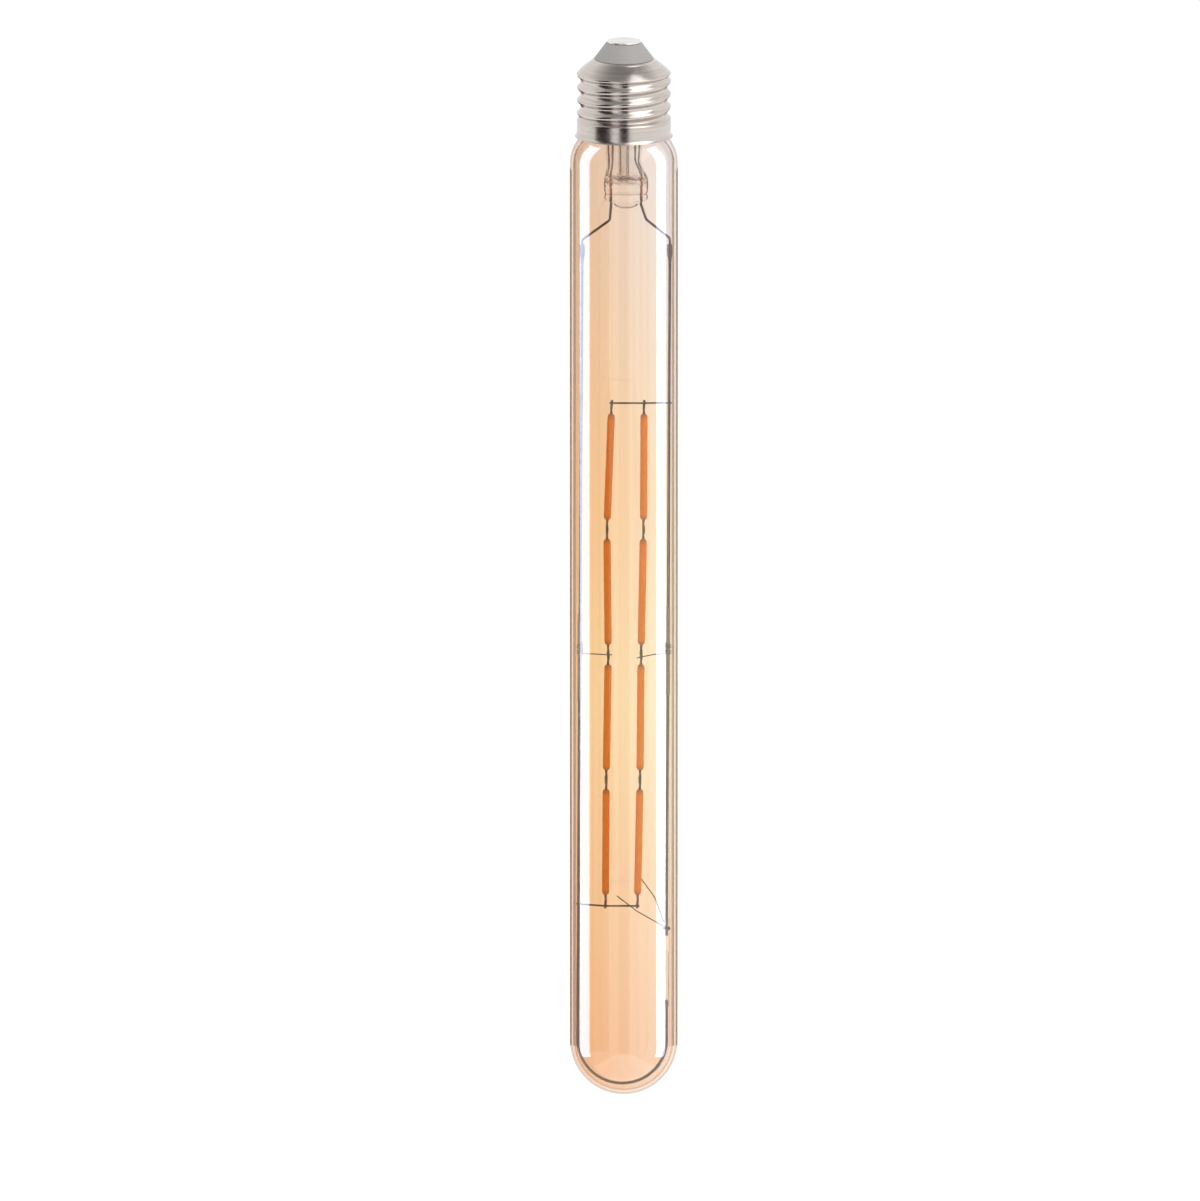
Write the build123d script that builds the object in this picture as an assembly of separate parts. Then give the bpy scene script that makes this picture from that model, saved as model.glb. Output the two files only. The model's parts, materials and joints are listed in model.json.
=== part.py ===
"""A tubular filament bulb with a 27 mm screw cap, in millimetres.

The bulb hangs cap up. Its axis is Z, and the origin is the middle of the centre contact's top face,
so every height below is negative. The two support wires lie in the plane Y = 0, and the filaments
hang just in front of it, towards -Y.
"""

import math
import os

from build123d import *

# Glass tube
overall_length = 300.0
tube_diameter = 30.0
glass_wall = 1.0
glass_bend_height = 12.0
glass_bend_start = 4.5
neck_depth = 11.0

# Screw shell
thread_crest_diameter = 26.15
thread_depth = 1.096
thread_pitch = 3.629
thread_turns = 3.6
cuts_per_turn = 10
shell_wall = 0.3
shoulder_drop = 5.2
shoulder_diameter = 16.4
shoulder_height = 4.05
collar_bevel = 0.8
collar_height = 3.7
lip_height = 1.0
lip_flare = 0.6

# Contact and insulator
contact_diameter = 9.4
contact_thickness = 0.6
contact_bevel = 0.25
eyelet_diameter = 3.2
eyelet_depth = 2.8
insulator_top_diameter = 9.9
insulator_bead = 0.3
insulator_skirt = 2.4
insulator_ceiling = 1.2
insulator_wall = 1.3
board_clearance = 0.5

# Cement between neck and shell
cement_gap = 0.66
cement_height = 9.0

# Driver in the cap
board_width = 13.0
board_height = 9.0
board_thickness = 1.0
board_front = 0.5
rectifier_size = (4.7, 1.5, 3.9)
chip_size = (3.0, 1.2, 1.7)
package_spread = 3.0
package_drop = 4.5
capacitor_diameter = 5.0
capacitor_length = 8.0
resistor_diameter = 2.4
resistor_length = 5.0
resistor_gap = 0.5
hook_wire_radius = 0.3
hook_wire_bend = 0.5
centre_lead_drop = 0.6
centre_lead_rise = 1.0
shell_lead_clearance = 0.3

# Stem
stem_wall = 0.9
flare_tube_diameter = 11.1
flare_tube_end_diameter = 9.7
flare_height = 4.5
flare_gap = 0.5
stem_reach = 7.0
pinch_height = 5.0
press_width = 12.3
press_thickness = 3.6
press_height = 5.3
press_shift = 0.6
chin_width = 7.2
chin_height = 3.2
chin_corner = 2.9
ear_width = 1.5
ear_height = 2.0
ear_corner = 0.7
lead_spread = 4.15
outer_lead_spread = 3.2
outer_lead_bend = 2.0
exhaust_diameter = 3.0
exhaust_bore = 1.6
exhaust_length = 17.5
seal_wire_radius = 0.33

# Lead-in wires and their joints
lead_wire_radius = 0.35
lead_wire_bend = 1.3
lead_wire_drop = 2.2
left_elbow = (-3.9, 6.6)
left_arrival = 12.2
right_elbow = (6.2, 6.4)
right_arrival = 11.8
joint_drop = 15.2
joint_sleeve_radius = 0.78
joint_sleeve_length = 3.4

# Support wires, placed by their gaps from the inside of the glass
support_radius = 0.425
left_top_gap = 2.0
left_bottom_gap = 0.6
right_top_gap = 0.75
right_bottom_gap = 1.6
dome_gap = 1.2
loop_rise = 11.8
loop_flat = 0.2
support_break = 18.4

# Insulating tubes on the supports
sleeve_play = 0.05
sleeve_wall = 0.2
mid_sleeve_length = 25.0
mid_sleeve_offset = 1.0
bottom_tube_wall = 0.24
bottom_tube_lap_top = 4.6
bottom_tube_lap_bottom = 2.0

# Cross bars
bar_radius = 0.25
bar_overhang = 0.6
bar_bend = 6.0
top_bar_kink = 2.0
bottom_bar_sag = 0.6

# Filament chains, from the bottom bar up
bottom_bar_rise = 38.8
filament_count = 4
coat_diameter = 2.06
coat_length = 30.0
coat_bevel = 0.5
coat_gap = 5.7
lead_inside = 1.5
lead_outside = 4.0
bar_to_coat = 3.2
strip_width = 0.85
strip_thickness = 0.3
left_chain_x = (-3.4, -4.7, -4.35, -4.9, -5.1)
right_chain_x = (5.6, 5.45, 4.8, 4.5, 3.8)

# Tie wires
tie_radius = 0.15
tie_bend = 1.0
mid_tie_height = 3.8
mid_tie_below = 0.4
mid_tie_overhang = 1.2
lower_tie_height = 0.9
lower_tie_drop = 6.6
lower_tail_front = ((3.8, -1.5), (-2.0, 3.0))
lower_tail_back = ((8.6, 2.2), (4.4, 8.0))

# Clearance between pieces that are pressed, welded or sealed together
touch = 0.02

# How far a cutting form runs past what it cuts
cut_past = 1.0

# Levels and radii that follow from the sizes above
crest_radius = thread_crest_diameter / 2
root_radius = crest_radius - thread_depth
bore_radius = root_radius - shell_wall
shoulder_z = -shoulder_drop
thread_top_z = shoulder_z - shoulder_height
collar_z = thread_top_z - thread_turns * thread_pitch
lip_z = collar_z - collar_height
cap_end_z = lip_z - lip_height

tube_radius = tube_diameter / 2
inner_radius = tube_radius - glass_wall
neck_radius = bore_radius - cement_gap
neck_top_z = cap_end_z + neck_depth
bend_top_z = cap_end_z + glass_bend_start
bend_bottom_z = bend_top_z - glass_bend_height
dome_z = -(overall_length - tube_radius)

ceiling_z = shoulder_z + insulator_ceiling
skirt_z = thread_top_z - shell_wall - insulator_skirt
shell_lead_z = skirt_z - shell_lead_clearance - hook_wire_radius
board_top_z = ceiling_z - touch
board_bottom_z = board_top_z - board_height
board_back = board_front + board_thickness
board_middle = (board_front + board_back) / 2
resistor_x = board_width / 2 - capacitor_length - resistor_gap - resistor_diameter / 2
resistor_y = board_front - touch - resistor_diameter / 2
resistor_top_z = board_bottom_z + resistor_length
eyelet_z = -contact_thickness - eyelet_depth

flare_radius = flare_tube_diameter / 2
pinch_z = cap_end_z - stem_reach
press_z = pinch_z - pinch_height
press_end_z = press_z - press_height
seal_x = (press_shift - lead_spread, press_shift + lead_spread)
joint_z = press_end_z - joint_drop

left_top_x = -(inner_radius - left_top_gap - support_radius)
left_bottom_x = -(inner_radius - left_bottom_gap - support_radius)
right_top_x = inner_radius - right_top_gap - support_radius
right_bottom_x = inner_radius - right_bottom_gap - support_radius
loop_z = -(overall_length - glass_wall - dome_gap - support_radius)
loop_end_z = dome_z + loop_rise
break_z = loop_end_z + support_break
sleeve_bore = support_radius + sleeve_play

filament_pitch = coat_length + coat_gap
bottom_bar_z = dome_z + bottom_bar_rise
coat_bottom_z = bottom_bar_z + bar_to_coat
chain_top_z = coat_bottom_z + (filament_count - 1) * filament_pitch + coat_length
top_bar_z = chain_top_z + bar_to_coat
mid_z = coat_bottom_z + filament_count / 2 * filament_pitch - coat_gap / 2

# Depths, from the supports' plane forward: bottom bar, back strips, front strips, top bar
bar_on_support_y = -(support_radius + touch + bar_radius)
back_strip_y = bar_on_support_y + bar_radius + touch + strip_thickness / 2
front_strip_y = back_strip_y - strip_thickness - touch
top_bar_y = front_strip_y - strip_thickness / 2 - touch - bar_radius


def turned(points):
    """A solid of revolution about Z from a closed outline of (radius, height) points."""
    return revolve(Plane.XZ * make_face(Polyline(*points, close=True)), Axis.Z)


def rod(start, end, radius):
    """A straight round rod between two points."""
    way = Vector(*end) - Vector(*start)
    return extrude(Plane(origin=start, z_dir=way) * Circle(radius), way.length)


def pipe(start, end, outer, inner):
    """A straight round tube between two points."""
    return rod(start, end, outer) - rod(start, end, inner)


def bent_wire(points, radius, bend):
    """A round wire along straight runs joined by tangent bends."""
    path = FilletPolyline(*points, radius=bend)
    return sweep(Plane(origin=path @ 0, z_dir=path % 0) * Circle(radius), path=path)


def right_x(z):
    """Where the axis of the straight right support crosses a height."""
    share = (joint_z - z) / (joint_z - break_z)
    return right_top_x + share * (right_bottom_x - right_top_x)


def left_x(z):
    """Where the axis of the left support's long leg crosses a height."""
    share = (joint_z - z) / (joint_z - loop_z)
    return left_top_x + share * (left_bottom_x - left_top_x)


def threaded_core():
    """The shell's outside from shoulder to collar, as one skin through level cuts.

    A level cut through a single-start round thread is a circle set off the axis by half the depth,
    and it turns once in each pitch. A centred circle at each end makes the shoulder and the run-out.
    """
    throw = thread_depth / 2
    cuts = [Pos(0, 0, collar_z - collar_bevel) * Circle(crest_radius)]
    count = round(thread_turns * cuts_per_turn)
    for i in range(count + 1):
        z = collar_z + (thread_top_z - collar_z) * i / count
        turn = 2 * math.pi * (z - collar_z) / thread_pitch
        cuts.append(Pos(throw * math.cos(turn), throw * math.sin(turn), z) * Circle(crest_radius - throw))
    cuts.append(Pos(0, 0, shoulder_z) * Circle(shoulder_diameter / 2))
    return loft(cuts, ruled=True)


def cap_shell():
    """The screw shell: sloping shoulder, thread, plain collar and flared lip, with a plain bore."""
    collar = turned([
        (0, collar_z - collar_bevel),
        (crest_radius, collar_z - collar_bevel),
        (crest_radius, lip_z),
        (crest_radius + lip_flare, cap_end_z),
        (0, cap_end_z),
    ])
    hollow = turned([
        (0, shoulder_z + cut_past),
        (shoulder_diameter / 2 - shell_wall, shoulder_z + cut_past),
        (shoulder_diameter / 2 - shell_wall, shoulder_z - shell_wall),
        (bore_radius, thread_top_z - shell_wall),
        (bore_radius, collar_z),
        (crest_radius - shell_wall, collar_z - collar_bevel - shell_wall),
        (crest_radius - shell_wall, lip_z),
        (crest_radius - shell_wall + lip_flare, cap_end_z),
        (crest_radius - shell_wall + lip_flare, cap_end_z - cut_past),
        (0, cap_end_z - cut_past),
    ])
    return threaded_core() + collar - hollow


def cap_insulator():
    """The pale cone under the contact, with a bead on the shell's edge and a skirt inside the shell."""
    hole = shoulder_diameter / 2 - shell_wall - touch
    skirt = bore_radius - touch
    return turned([
        (eyelet_diameter / 2 + touch, -contact_thickness),
        (insulator_top_diameter / 2, -contact_thickness),
        (shoulder_diameter / 2 + insulator_bead / 2, shoulder_z + insulator_bead),
        (shoulder_diameter / 2 + insulator_bead / 2, shoulder_z + touch),
        (hole, shoulder_z + touch),
        (hole, shoulder_z - shell_wall - touch),
        (skirt, thread_top_z - shell_wall - touch),
        (skirt, skirt_z),
        (skirt - insulator_wall, skirt_z),
        (skirt - insulator_wall, thread_top_z - shell_wall - touch),
        (board_width / 2 + board_clearance, ceiling_z),
        (eyelet_diameter / 2 + touch, ceiling_z),
    ])


def centre_contact():
    """The flat disc on top, with an eyelet underneath that takes the centre lead."""
    return turned([
        (0, 0),
        (contact_diameter / 2 - contact_bevel, 0),
        (contact_diameter / 2, -contact_bevel),
        (contact_diameter / 2, -contact_thickness),
        (eyelet_diameter / 2, -contact_thickness),
        (eyelet_diameter / 2, eyelet_z),
        (hook_wire_radius + touch, eyelet_z),
        (hook_wire_radius + touch, -contact_thickness),
        (0, -contact_thickness),
    ])


def glass_form(inset, top_z):
    """The blown form: neck, double bend out to the tube, tube and dome, drawn in by an inset."""
    out = tube_radius - neck_radius
    bend = (glass_bend_height ** 2 + out ** 2) / (4 * out)
    sweep_angle = math.degrees(math.asin(glass_bend_height / 2 / bend))
    outline = [
        Line((0, top_z), (neck_radius - inset, top_z)),
        Line((neck_radius - inset, top_z), (neck_radius - inset, bend_top_z)),
        CenterArc((neck_radius + bend, bend_top_z), bend + inset, 180, sweep_angle),
        CenterArc((tube_radius - bend, bend_bottom_z), bend - inset, sweep_angle, -sweep_angle),
        Line((tube_radius - inset, bend_bottom_z), (tube_radius - inset, dome_z)),
        CenterArc((0, dome_z), tube_radius - inset, 0, -90),
        Line((0, dome_z - tube_radius + inset), (0, top_z)),
    ]
    return revolve(Plane.XZ * make_face(outline), Axis.Z)


def glass_envelope():
    """The clear glass, one even wall from neck to dome."""
    return glass_form(0, neck_top_z) - glass_form(glass_wall, neck_top_z + cut_past)


def cap_cement():
    """The ring of cement that fills the space between neck and shell."""
    outer = crest_radius - shell_wall - touch
    top_z = lip_z + cement_height
    ring = turned([
        (0, top_z),
        (bore_radius - touch, top_z),
        (bore_radius - touch, collar_z),
        (outer, collar_z - collar_bevel - shell_wall - touch),
        (outer, lip_z),
        (0, lip_z),
    ])
    return ring - glass_form(-touch, top_z + cut_past)


def driver_board():
    """The small upright circuit board, its top edge against the insulator."""
    middle_z = (board_top_z + board_bottom_z) / 2
    return Pos(0, board_middle, middle_z) * Box(board_width, board_thickness, board_height)


def on_board_back(size, side):
    """A block soldered to the back of the board, left or right of its middle."""
    place = Pos(side * package_spread, board_back + size[1] / 2, board_top_z - package_drop)
    return place * Box(*size)


def smoothing_capacitor():
    """The round capacitor lying across the front of the board."""
    y = board_front - touch - capacitor_diameter / 2
    z = board_bottom_z + touch + capacitor_diameter / 2
    end = board_width / 2
    return rod((end - capacitor_length, y, z), (end, y, z), capacitor_diameter / 2)


def fusible_resistor():
    """The resistor that stands in front of the board beside the capacitor."""
    bottom = (resistor_x, resistor_y, board_bottom_z)
    top = (resistor_x, resistor_y, resistor_top_z)
    return rod(bottom, top, resistor_diameter / 2)


def centre_lead():
    """The wire from the contact's eyelet to the top of the resistor."""
    points = [
        (0, 0, -contact_thickness - touch),
        (0, 0, eyelet_z - centre_lead_drop),
        (resistor_x, resistor_y, resistor_top_z + centre_lead_rise),
        (resistor_x, resistor_y, resistor_top_z),
    ]
    return bent_wire(points, hook_wire_radius, hook_wire_bend)


def shell_lead():
    """The wire from the board's edge to the inside of the shell, just under the insulator's skirt."""
    reach = math.sqrt((bore_radius - touch) ** 2 - (board_middle + hook_wire_radius) ** 2)
    start = (board_width / 2, board_middle, shell_lead_z)
    return rod(start, (reach, board_middle, shell_lead_z), hook_wire_radius)


def stem_press():
    """The stem: a flared glass tube whose lower end is pinched flat round the two seal wires."""
    end_radius = flare_tube_end_diameter / 2
    flare_z = neck_top_z - flare_height
    flare = turned([
        (neck_radius, neck_top_z),
        (neck_radius - glass_wall - flare_gap, neck_top_z),
        (flare_radius, flare_z),
        (end_radius, pinch_z),
        (end_radius - stem_wall, pinch_z),
        (flare_radius - stem_wall, flare_z),
        (neck_radius - glass_wall - flare_gap - stem_wall, neck_top_z + stem_wall),
        (neck_radius, neck_top_z + stem_wall),
    ])
    outside = loft([
        Pos(0, 0, pinch_z) * Circle(end_radius),
        Pos(press_shift, 0, press_z) * Ellipse(press_width / 2, press_thickness / 2),
    ])
    inside = loft([
        Pos(0, 0, pinch_z) * Circle(end_radius - stem_wall),
        Pos(press_shift, 0, press_z + stem_wall) * Ellipse(press_width / 2 - stem_wall, press_thickness / 4),
    ])
    body = Pos(0, -press_height / 2) * Rectangle(press_width, press_height)
    chin = Pos(0, -(press_height + chin_height) / 2) * RectangleRounded(
        chin_width, press_height + chin_height, chin_corner)
    outline = body + chin
    for side in (-1, 1):
        ear_x = side * (press_width - ear_width) / 2
        outline += Pos(ear_x, -press_height) * RectangleRounded(ear_width, 2 * ear_height, ear_corner)
    blade = extrude(Plane.XZ * Pos(press_shift, press_z) * outline, press_thickness / 2, both=True)
    stem = flare + (outside - inside) + blade
    stem -= rod((0, 0, pinch_z), (0, 0, press_z), exhaust_diameter / 2 + touch)
    for x in seal_x:
        stem -= rod((x, 0, press_z + stem_wall), (x, 0, press_end_z - ear_height), lead_wire_radius + touch)
    return stem


def exhaust_tube():
    """The thin tube in the middle of the stem, open at the press and melted shut at its tip."""
    tip_z = press_z + exhaust_length
    outer = exhaust_diameter / 2
    bore = exhaust_bore / 2
    return revolve(Plane.XZ * make_face([
        Line((bore, press_z + touch), (outer, press_z + touch)),
        Line((outer, press_z + touch), (outer, tip_z - outer)),
        CenterArc((0, tip_z - outer), outer, 0, 90),
        Line((0, tip_z), (0, tip_z - outer)),
        Line((0, tip_z - outer), (bore, tip_z - outer)),
        Line((bore, tip_z - outer), (bore, press_z + touch)),
    ]), Axis.Z)


def seal_wire(x):
    """The copper-coated wire that the press is pinched round."""
    return rod((x, 0, press_z + stem_wall), (x, 0, press_end_z), seal_wire_radius)


def outer_lead(x, side):
    """The wire from the board's lower edge down the stem to the seal."""
    return bent_wire([
        (side * outer_lead_spread, board_middle, board_bottom_z),
        (side * outer_lead_spread, board_middle / 2, pinch_z),
        (x, 0, press_z + stem_wall + touch),
    ], hook_wire_radius, outer_lead_bend)


def lead_in_wire(start_x, elbow, end_x, arrival):
    """The wire from the press out to a support, straight again where it enters the ferrule."""
    return bent_wire([
        (start_x, 0, press_end_z),
        (start_x, 0, press_end_z - lead_wire_drop),
        (elbow[0], 0, press_end_z - elbow[1]),
        (end_x, 0, press_end_z - arrival),
        (end_x, 0, joint_z),
    ], lead_wire_radius, lead_wire_bend)


def joint_sleeve(x):
    """The ferrule in which the end of a lead-in wire meets the end of a support wire."""
    half = joint_sleeve_length / 2
    top = (x, 0, joint_z + half)
    bottom = (x, 0, joint_z - half)
    middle = (x, 0, joint_z)
    body = rod(top, bottom, joint_sleeve_radius)
    return body - rod(top, middle, lead_wire_radius + touch) - rod(middle, bottom, support_radius + touch)


def support_wire_left():
    """The long support: down the left side, round inside the dome and a little way up the right."""
    loop_bend = (right_bottom_x - left_bottom_x - loop_flat) / 2
    return bent_wire([
        (left_top_x, 0, joint_z),
        (left_bottom_x, 0, loop_z),
        (right_bottom_x, 0, loop_z),
        (right_bottom_x, 0, loop_end_z),
    ], support_radius, loop_bend)


def support_wire_right():
    """The straight support on the right, which ends above the loop."""
    return rod((right_top_x, 0, joint_z), (right_bottom_x, 0, break_z), support_radius)


def bottom_insulator_tube():
    """The glass tube that joins the two supports' ends and keeps their currents apart."""
    top = (right_bottom_x, 0, break_z + bottom_tube_lap_top)
    bottom = (right_bottom_x, 0, loop_end_z - bottom_tube_lap_bottom)
    return pipe(top, bottom, sleeve_bore + bottom_tube_wall, sleeve_bore)


def mid_sleeve(support_x, side):
    """The glass sleeve half way down a support. The right one sits a little higher."""
    middle = mid_z + side * mid_sleeve_offset
    top_z = middle + mid_sleeve_length / 2
    bottom_z = middle - mid_sleeve_length / 2
    top = (support_x(top_z), 0, top_z)
    bottom = (support_x(bottom_z), 0, bottom_z)
    return pipe(top, bottom, sleeve_bore + sleeve_wall, sleeve_bore)


def mid_tie(support_x, side, chain_x):
    """Turns of wire round a mid sleeve, and the run behind the weld in the middle of a chain."""
    inner = sleeve_bore + sleeve_wall + touch
    low_z = mid_z - mid_tie_below
    high_z = low_z + mid_tie_height
    turns = pipe((support_x(high_z), 0, high_z), (support_x(low_z), 0, low_z), inner + 2 * tie_radius, inner)
    start = (support_x(mid_z), inner + tie_radius, mid_z)
    behind = back_strip_y + strip_thickness / 2 + touch + tie_radius
    end = (chain_x - side * mid_tie_overhang, behind, mid_z)
    return turns + rod(start, end, tie_radius)


def lower_tie_wire():
    """Turns of wire round the bottom tube, one tail before the right chain and one behind it."""
    inner = sleeve_bore + bottom_tube_wall + touch
    z = bottom_bar_z - lower_tie_drop
    half = lower_tie_height / 2
    x = right_bottom_x
    turns = pipe((x, 0, z + half), (x, 0, z - half), inner + 2 * tie_radius, inner)
    before = bar_on_support_y - bar_radius - touch - tie_radius
    behind = back_strip_y + coat_diameter / 2 + touch + tie_radius
    tie = turns
    for side, y, tail in ((-1, before, lower_tail_front), (1, behind, lower_tail_back)):
        points = [(x, side * (inner + tie_radius), z)]
        points += [(tail_x, y, bottom_bar_z + rise) for tail_x, rise in tail]
        tie += bent_wire(points, tie_radius, tie_bend)
    return tie


def top_bar():
    """The cross wire over both chains, welded to the right support."""
    support = right_x(top_bar_z)
    return bent_wire([
        (left_chain_x[0] - bar_overhang, top_bar_y, top_bar_z),
        (right_chain_x[0] + bar_overhang, top_bar_y, top_bar_z),
        (support - top_bar_kink, bar_on_support_y, top_bar_z),
        (support + bar_overhang, bar_on_support_y, top_bar_z),
    ], bar_radius, bar_bend)


def bottom_bar():
    """The cross wire under both chains, welded to the left support and sagging a little."""
    support = left_x(bottom_bar_z)
    return bent_wire([
        (support - bar_overhang, bar_on_support_y, bottom_bar_z + bottom_bar_sag),
        (left_chain_x[-1], bar_on_support_y, bottom_bar_z),
        (right_chain_x[-1] + bar_overhang, bar_on_support_y, bottom_bar_z),
    ], bar_radius, bar_bend)


def filament_coat():
    """The moulded coat, a round rod with bevelled ends and a slot for the strip and its leads."""
    body = Cylinder(coat_diameter / 2, coat_length)
    body = chamfer(body.edges().filter_by(GeomType.CIRCLE), coat_bevel)
    slot = Box(strip_width + 2 * touch, strip_thickness + 2 * touch, coat_length + cut_past)
    return body - slot


def filament_strip():
    """The strip inside the coat that carries the lights."""
    return Box(strip_width, strip_thickness, coat_length - 2 * lead_inside - 2 * touch)


def filament_leads():
    """The two flat metal ends, held a little way inside the coat."""
    length = lead_inside + lead_outside
    middle = coat_length / 2 - lead_inside + length / 2
    return [Pos(0, 0, side * middle) * Box(strip_width, strip_thickness, length) for side in (1, -1)]


def filaments(chain_x, side):
    """The pieces of one chain, each filament leaning from its upper weld to its lower one."""
    pieces = {}
    for i in range(filament_count):
        z = chain_top_z - coat_length / 2 - i * filament_pitch
        x = (chain_x[i] + chain_x[i + 1]) / 2
        lean = math.degrees(math.atan2(chain_x[i] - chain_x[i + 1], filament_pitch))
        place = Location((x, back_strip_y if i % 2 else front_strip_y, z), (0, lean, 0))
        name = f"filament_{side}_{i + 1}"
        pieces[f"{name}_coat"] = place * filament_coat()
        pieces[f"{name}_strip"] = place * filament_strip()
        pieces[f"{name}_leads"] = Compound([place * lead for lead in filament_leads()])
    return pieces


def main():
    os.makedirs("parts", exist_ok=True)
    pieces = {
        "cap_shell": cap_shell(),
        "cap_insulator": cap_insulator(),
        "centre_contact": centre_contact(),
        "cap_cement": cap_cement(),
        "glass_envelope": glass_envelope(),
        "stem_press": stem_press(),
        "exhaust_tube": exhaust_tube(),
        "driver_board": driver_board(),
        "bridge_rectifier": on_board_back(rectifier_size, -1),
        "driver_chip": on_board_back(chip_size, 1),
        "smoothing_capacitor": smoothing_capacitor(),
        "fusible_resistor": fusible_resistor(),
        "centre_lead": centre_lead(),
        "shell_lead": shell_lead(),
        "outer_lead_left": outer_lead(seal_x[0], -1),
        "outer_lead_right": outer_lead(seal_x[1], 1),
        "seal_wire_left": seal_wire(seal_x[0]),
        "seal_wire_right": seal_wire(seal_x[1]),
        "lead_in_wire_left": lead_in_wire(seal_x[0], left_elbow, left_top_x, left_arrival),
        "lead_in_wire_right": lead_in_wire(seal_x[1], right_elbow, right_top_x, right_arrival),
        "joint_sleeve_left": joint_sleeve(left_top_x),
        "joint_sleeve_right": joint_sleeve(right_top_x),
        "support_wire_left": support_wire_left(),
        "support_wire_right": support_wire_right(),
        "bottom_insulator_tube": bottom_insulator_tube(),
        "mid_sleeve_left": mid_sleeve(left_x, -1),
        "mid_sleeve_right": mid_sleeve(right_x, 1),
        "mid_tie_left": mid_tie(left_x, -1, left_chain_x[filament_count // 2]),
        "mid_tie_right": mid_tie(right_x, 1, right_chain_x[filament_count // 2]),
        "lower_tie_wire": lower_tie_wire(),
        "top_bar": top_bar(),
        "bottom_bar": bottom_bar(),
        **filaments(left_chain_x, "left"),
        **filaments(right_chain_x, "right"),
    }
    for name, piece in pieces.items():
        export_step(piece, f"parts/{name}.step")


main()
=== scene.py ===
# %% [markdown]
# # A tubular filament bulb
#
# The construction of this bulb is already settled: every wire, tube and cap part has its real size
# and place. Here it gets its looks. We load that construction as a frame, build finer surfaces over
# the parts whose curves matter, and give every surface a finish made of nodes.

# %% Load the frame
import json
import math

import bpy
import numpy as np
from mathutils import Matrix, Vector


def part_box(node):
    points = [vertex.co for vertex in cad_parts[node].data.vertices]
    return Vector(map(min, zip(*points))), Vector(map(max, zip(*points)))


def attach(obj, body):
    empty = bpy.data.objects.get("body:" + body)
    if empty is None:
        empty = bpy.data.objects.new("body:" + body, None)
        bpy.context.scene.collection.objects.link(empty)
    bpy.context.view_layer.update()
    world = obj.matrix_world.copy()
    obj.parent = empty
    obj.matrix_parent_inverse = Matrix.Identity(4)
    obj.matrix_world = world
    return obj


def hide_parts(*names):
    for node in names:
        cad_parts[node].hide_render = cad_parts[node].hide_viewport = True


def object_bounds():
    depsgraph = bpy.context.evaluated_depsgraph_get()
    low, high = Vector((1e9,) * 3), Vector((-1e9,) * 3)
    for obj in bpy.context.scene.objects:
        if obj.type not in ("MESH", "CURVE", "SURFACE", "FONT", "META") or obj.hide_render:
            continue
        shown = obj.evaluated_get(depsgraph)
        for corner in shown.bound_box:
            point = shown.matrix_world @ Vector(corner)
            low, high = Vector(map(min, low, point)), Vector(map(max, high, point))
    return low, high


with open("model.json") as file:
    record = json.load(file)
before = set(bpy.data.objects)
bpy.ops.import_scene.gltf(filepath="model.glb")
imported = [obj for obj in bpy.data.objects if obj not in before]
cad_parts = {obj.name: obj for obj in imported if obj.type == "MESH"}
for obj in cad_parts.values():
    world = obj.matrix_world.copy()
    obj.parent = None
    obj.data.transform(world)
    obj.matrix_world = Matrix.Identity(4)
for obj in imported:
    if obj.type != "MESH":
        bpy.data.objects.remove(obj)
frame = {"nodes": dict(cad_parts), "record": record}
cad_low, cad_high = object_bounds()
MM = 0.001
print("nodes in the frame:", len(frame["nodes"]))

# %% [markdown]
# Almost everything here is either turned, like the glass and the cap, or drawn, like the wires. Both
# are rings of points carried along a line, so one helper can weave rings into a skin. Working with
# whole arrays keeps it quick, and weaving in one fixed direction keeps every face pointing outwards.

# %% Weave rings into a skin


def weave(rings, start=None, end=None, looped=False):
    """Points and faces of a closed skin over rings, an array of (station, around, xyz).

    Point j of ring i joins point j + 1 and the same two points of ring i + 1 as one four-sided face.
    Each end closes on one point, its ring's middle if none is given. A looped skin meets itself.
    """
    stations, around, _ = rings.shape
    index = np.arange(stations * around).reshape(stations, around)
    here, there = (index, np.roll(index, -1, axis=0)) if looped else (index[:-1], index[1:])
    quads = np.stack([here, np.roll(here, -1, 1), np.roll(there, -1, 1), there], axis=-1).reshape(-1, 4)
    points, faces = rings.reshape(-1, 3), quads.tolist()
    if not looped:
        poles = [rings[0].mean(0) if start is None else start, rings[-1].mean(0) if end is None else end]
        first, last = len(points), len(points) + 1
        points = np.vstack([points, poles])
        low, high = index[0], index[-1]
        faces += np.stack([np.full(around, first), np.roll(low, -1), low], axis=-1).tolist()
        faces += np.stack([high, np.roll(high, -1), np.full(around, last)], axis=-1).tolist()
    return points, faces


def mesh_of(name, *skins):
    """One mesh from any number of skins, smooth but for edges that turn more than 38 degrees."""
    points, faces, count = [], [], 0
    for skin_points, skin_faces in skins:
        points.append(skin_points)
        faces += [[corner + count for corner in face] for face in skin_faces]
        count += len(skin_points)
    mesh = bpy.data.meshes.new(name)
    mesh.from_pydata(np.vstack(points).tolist(), [], faces)
    mesh.update()
    mesh.polygons.foreach_set("use_smooth", np.ones(len(mesh.polygons), bool))
    mesh.set_sharp_from_angle(angle=math.radians(38))
    return mesh


piece_slot = {}


def place(mesh, slot, *nodes):
    """Shows a mesh as a piece of the bulb that stands for the named nodes."""
    piece = bpy.data.objects.new(mesh.name, mesh)
    bpy.context.scene.collection.objects.link(piece)
    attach(piece, "root")
    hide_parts(*nodes)
    piece_slot[piece.name] = slot
    print(f"{mesh.name}: {len(mesh.polygons)} faces")
    return piece


# %% [markdown]
# A ring is always drawn the same way round when seen against its line of travel. A turned part has
# its rings on one straight axis, and its outline goes up the outside and back down the inside. A wire
# has its rings square to its path.

# %% Rings on an axis and along a path


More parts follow.
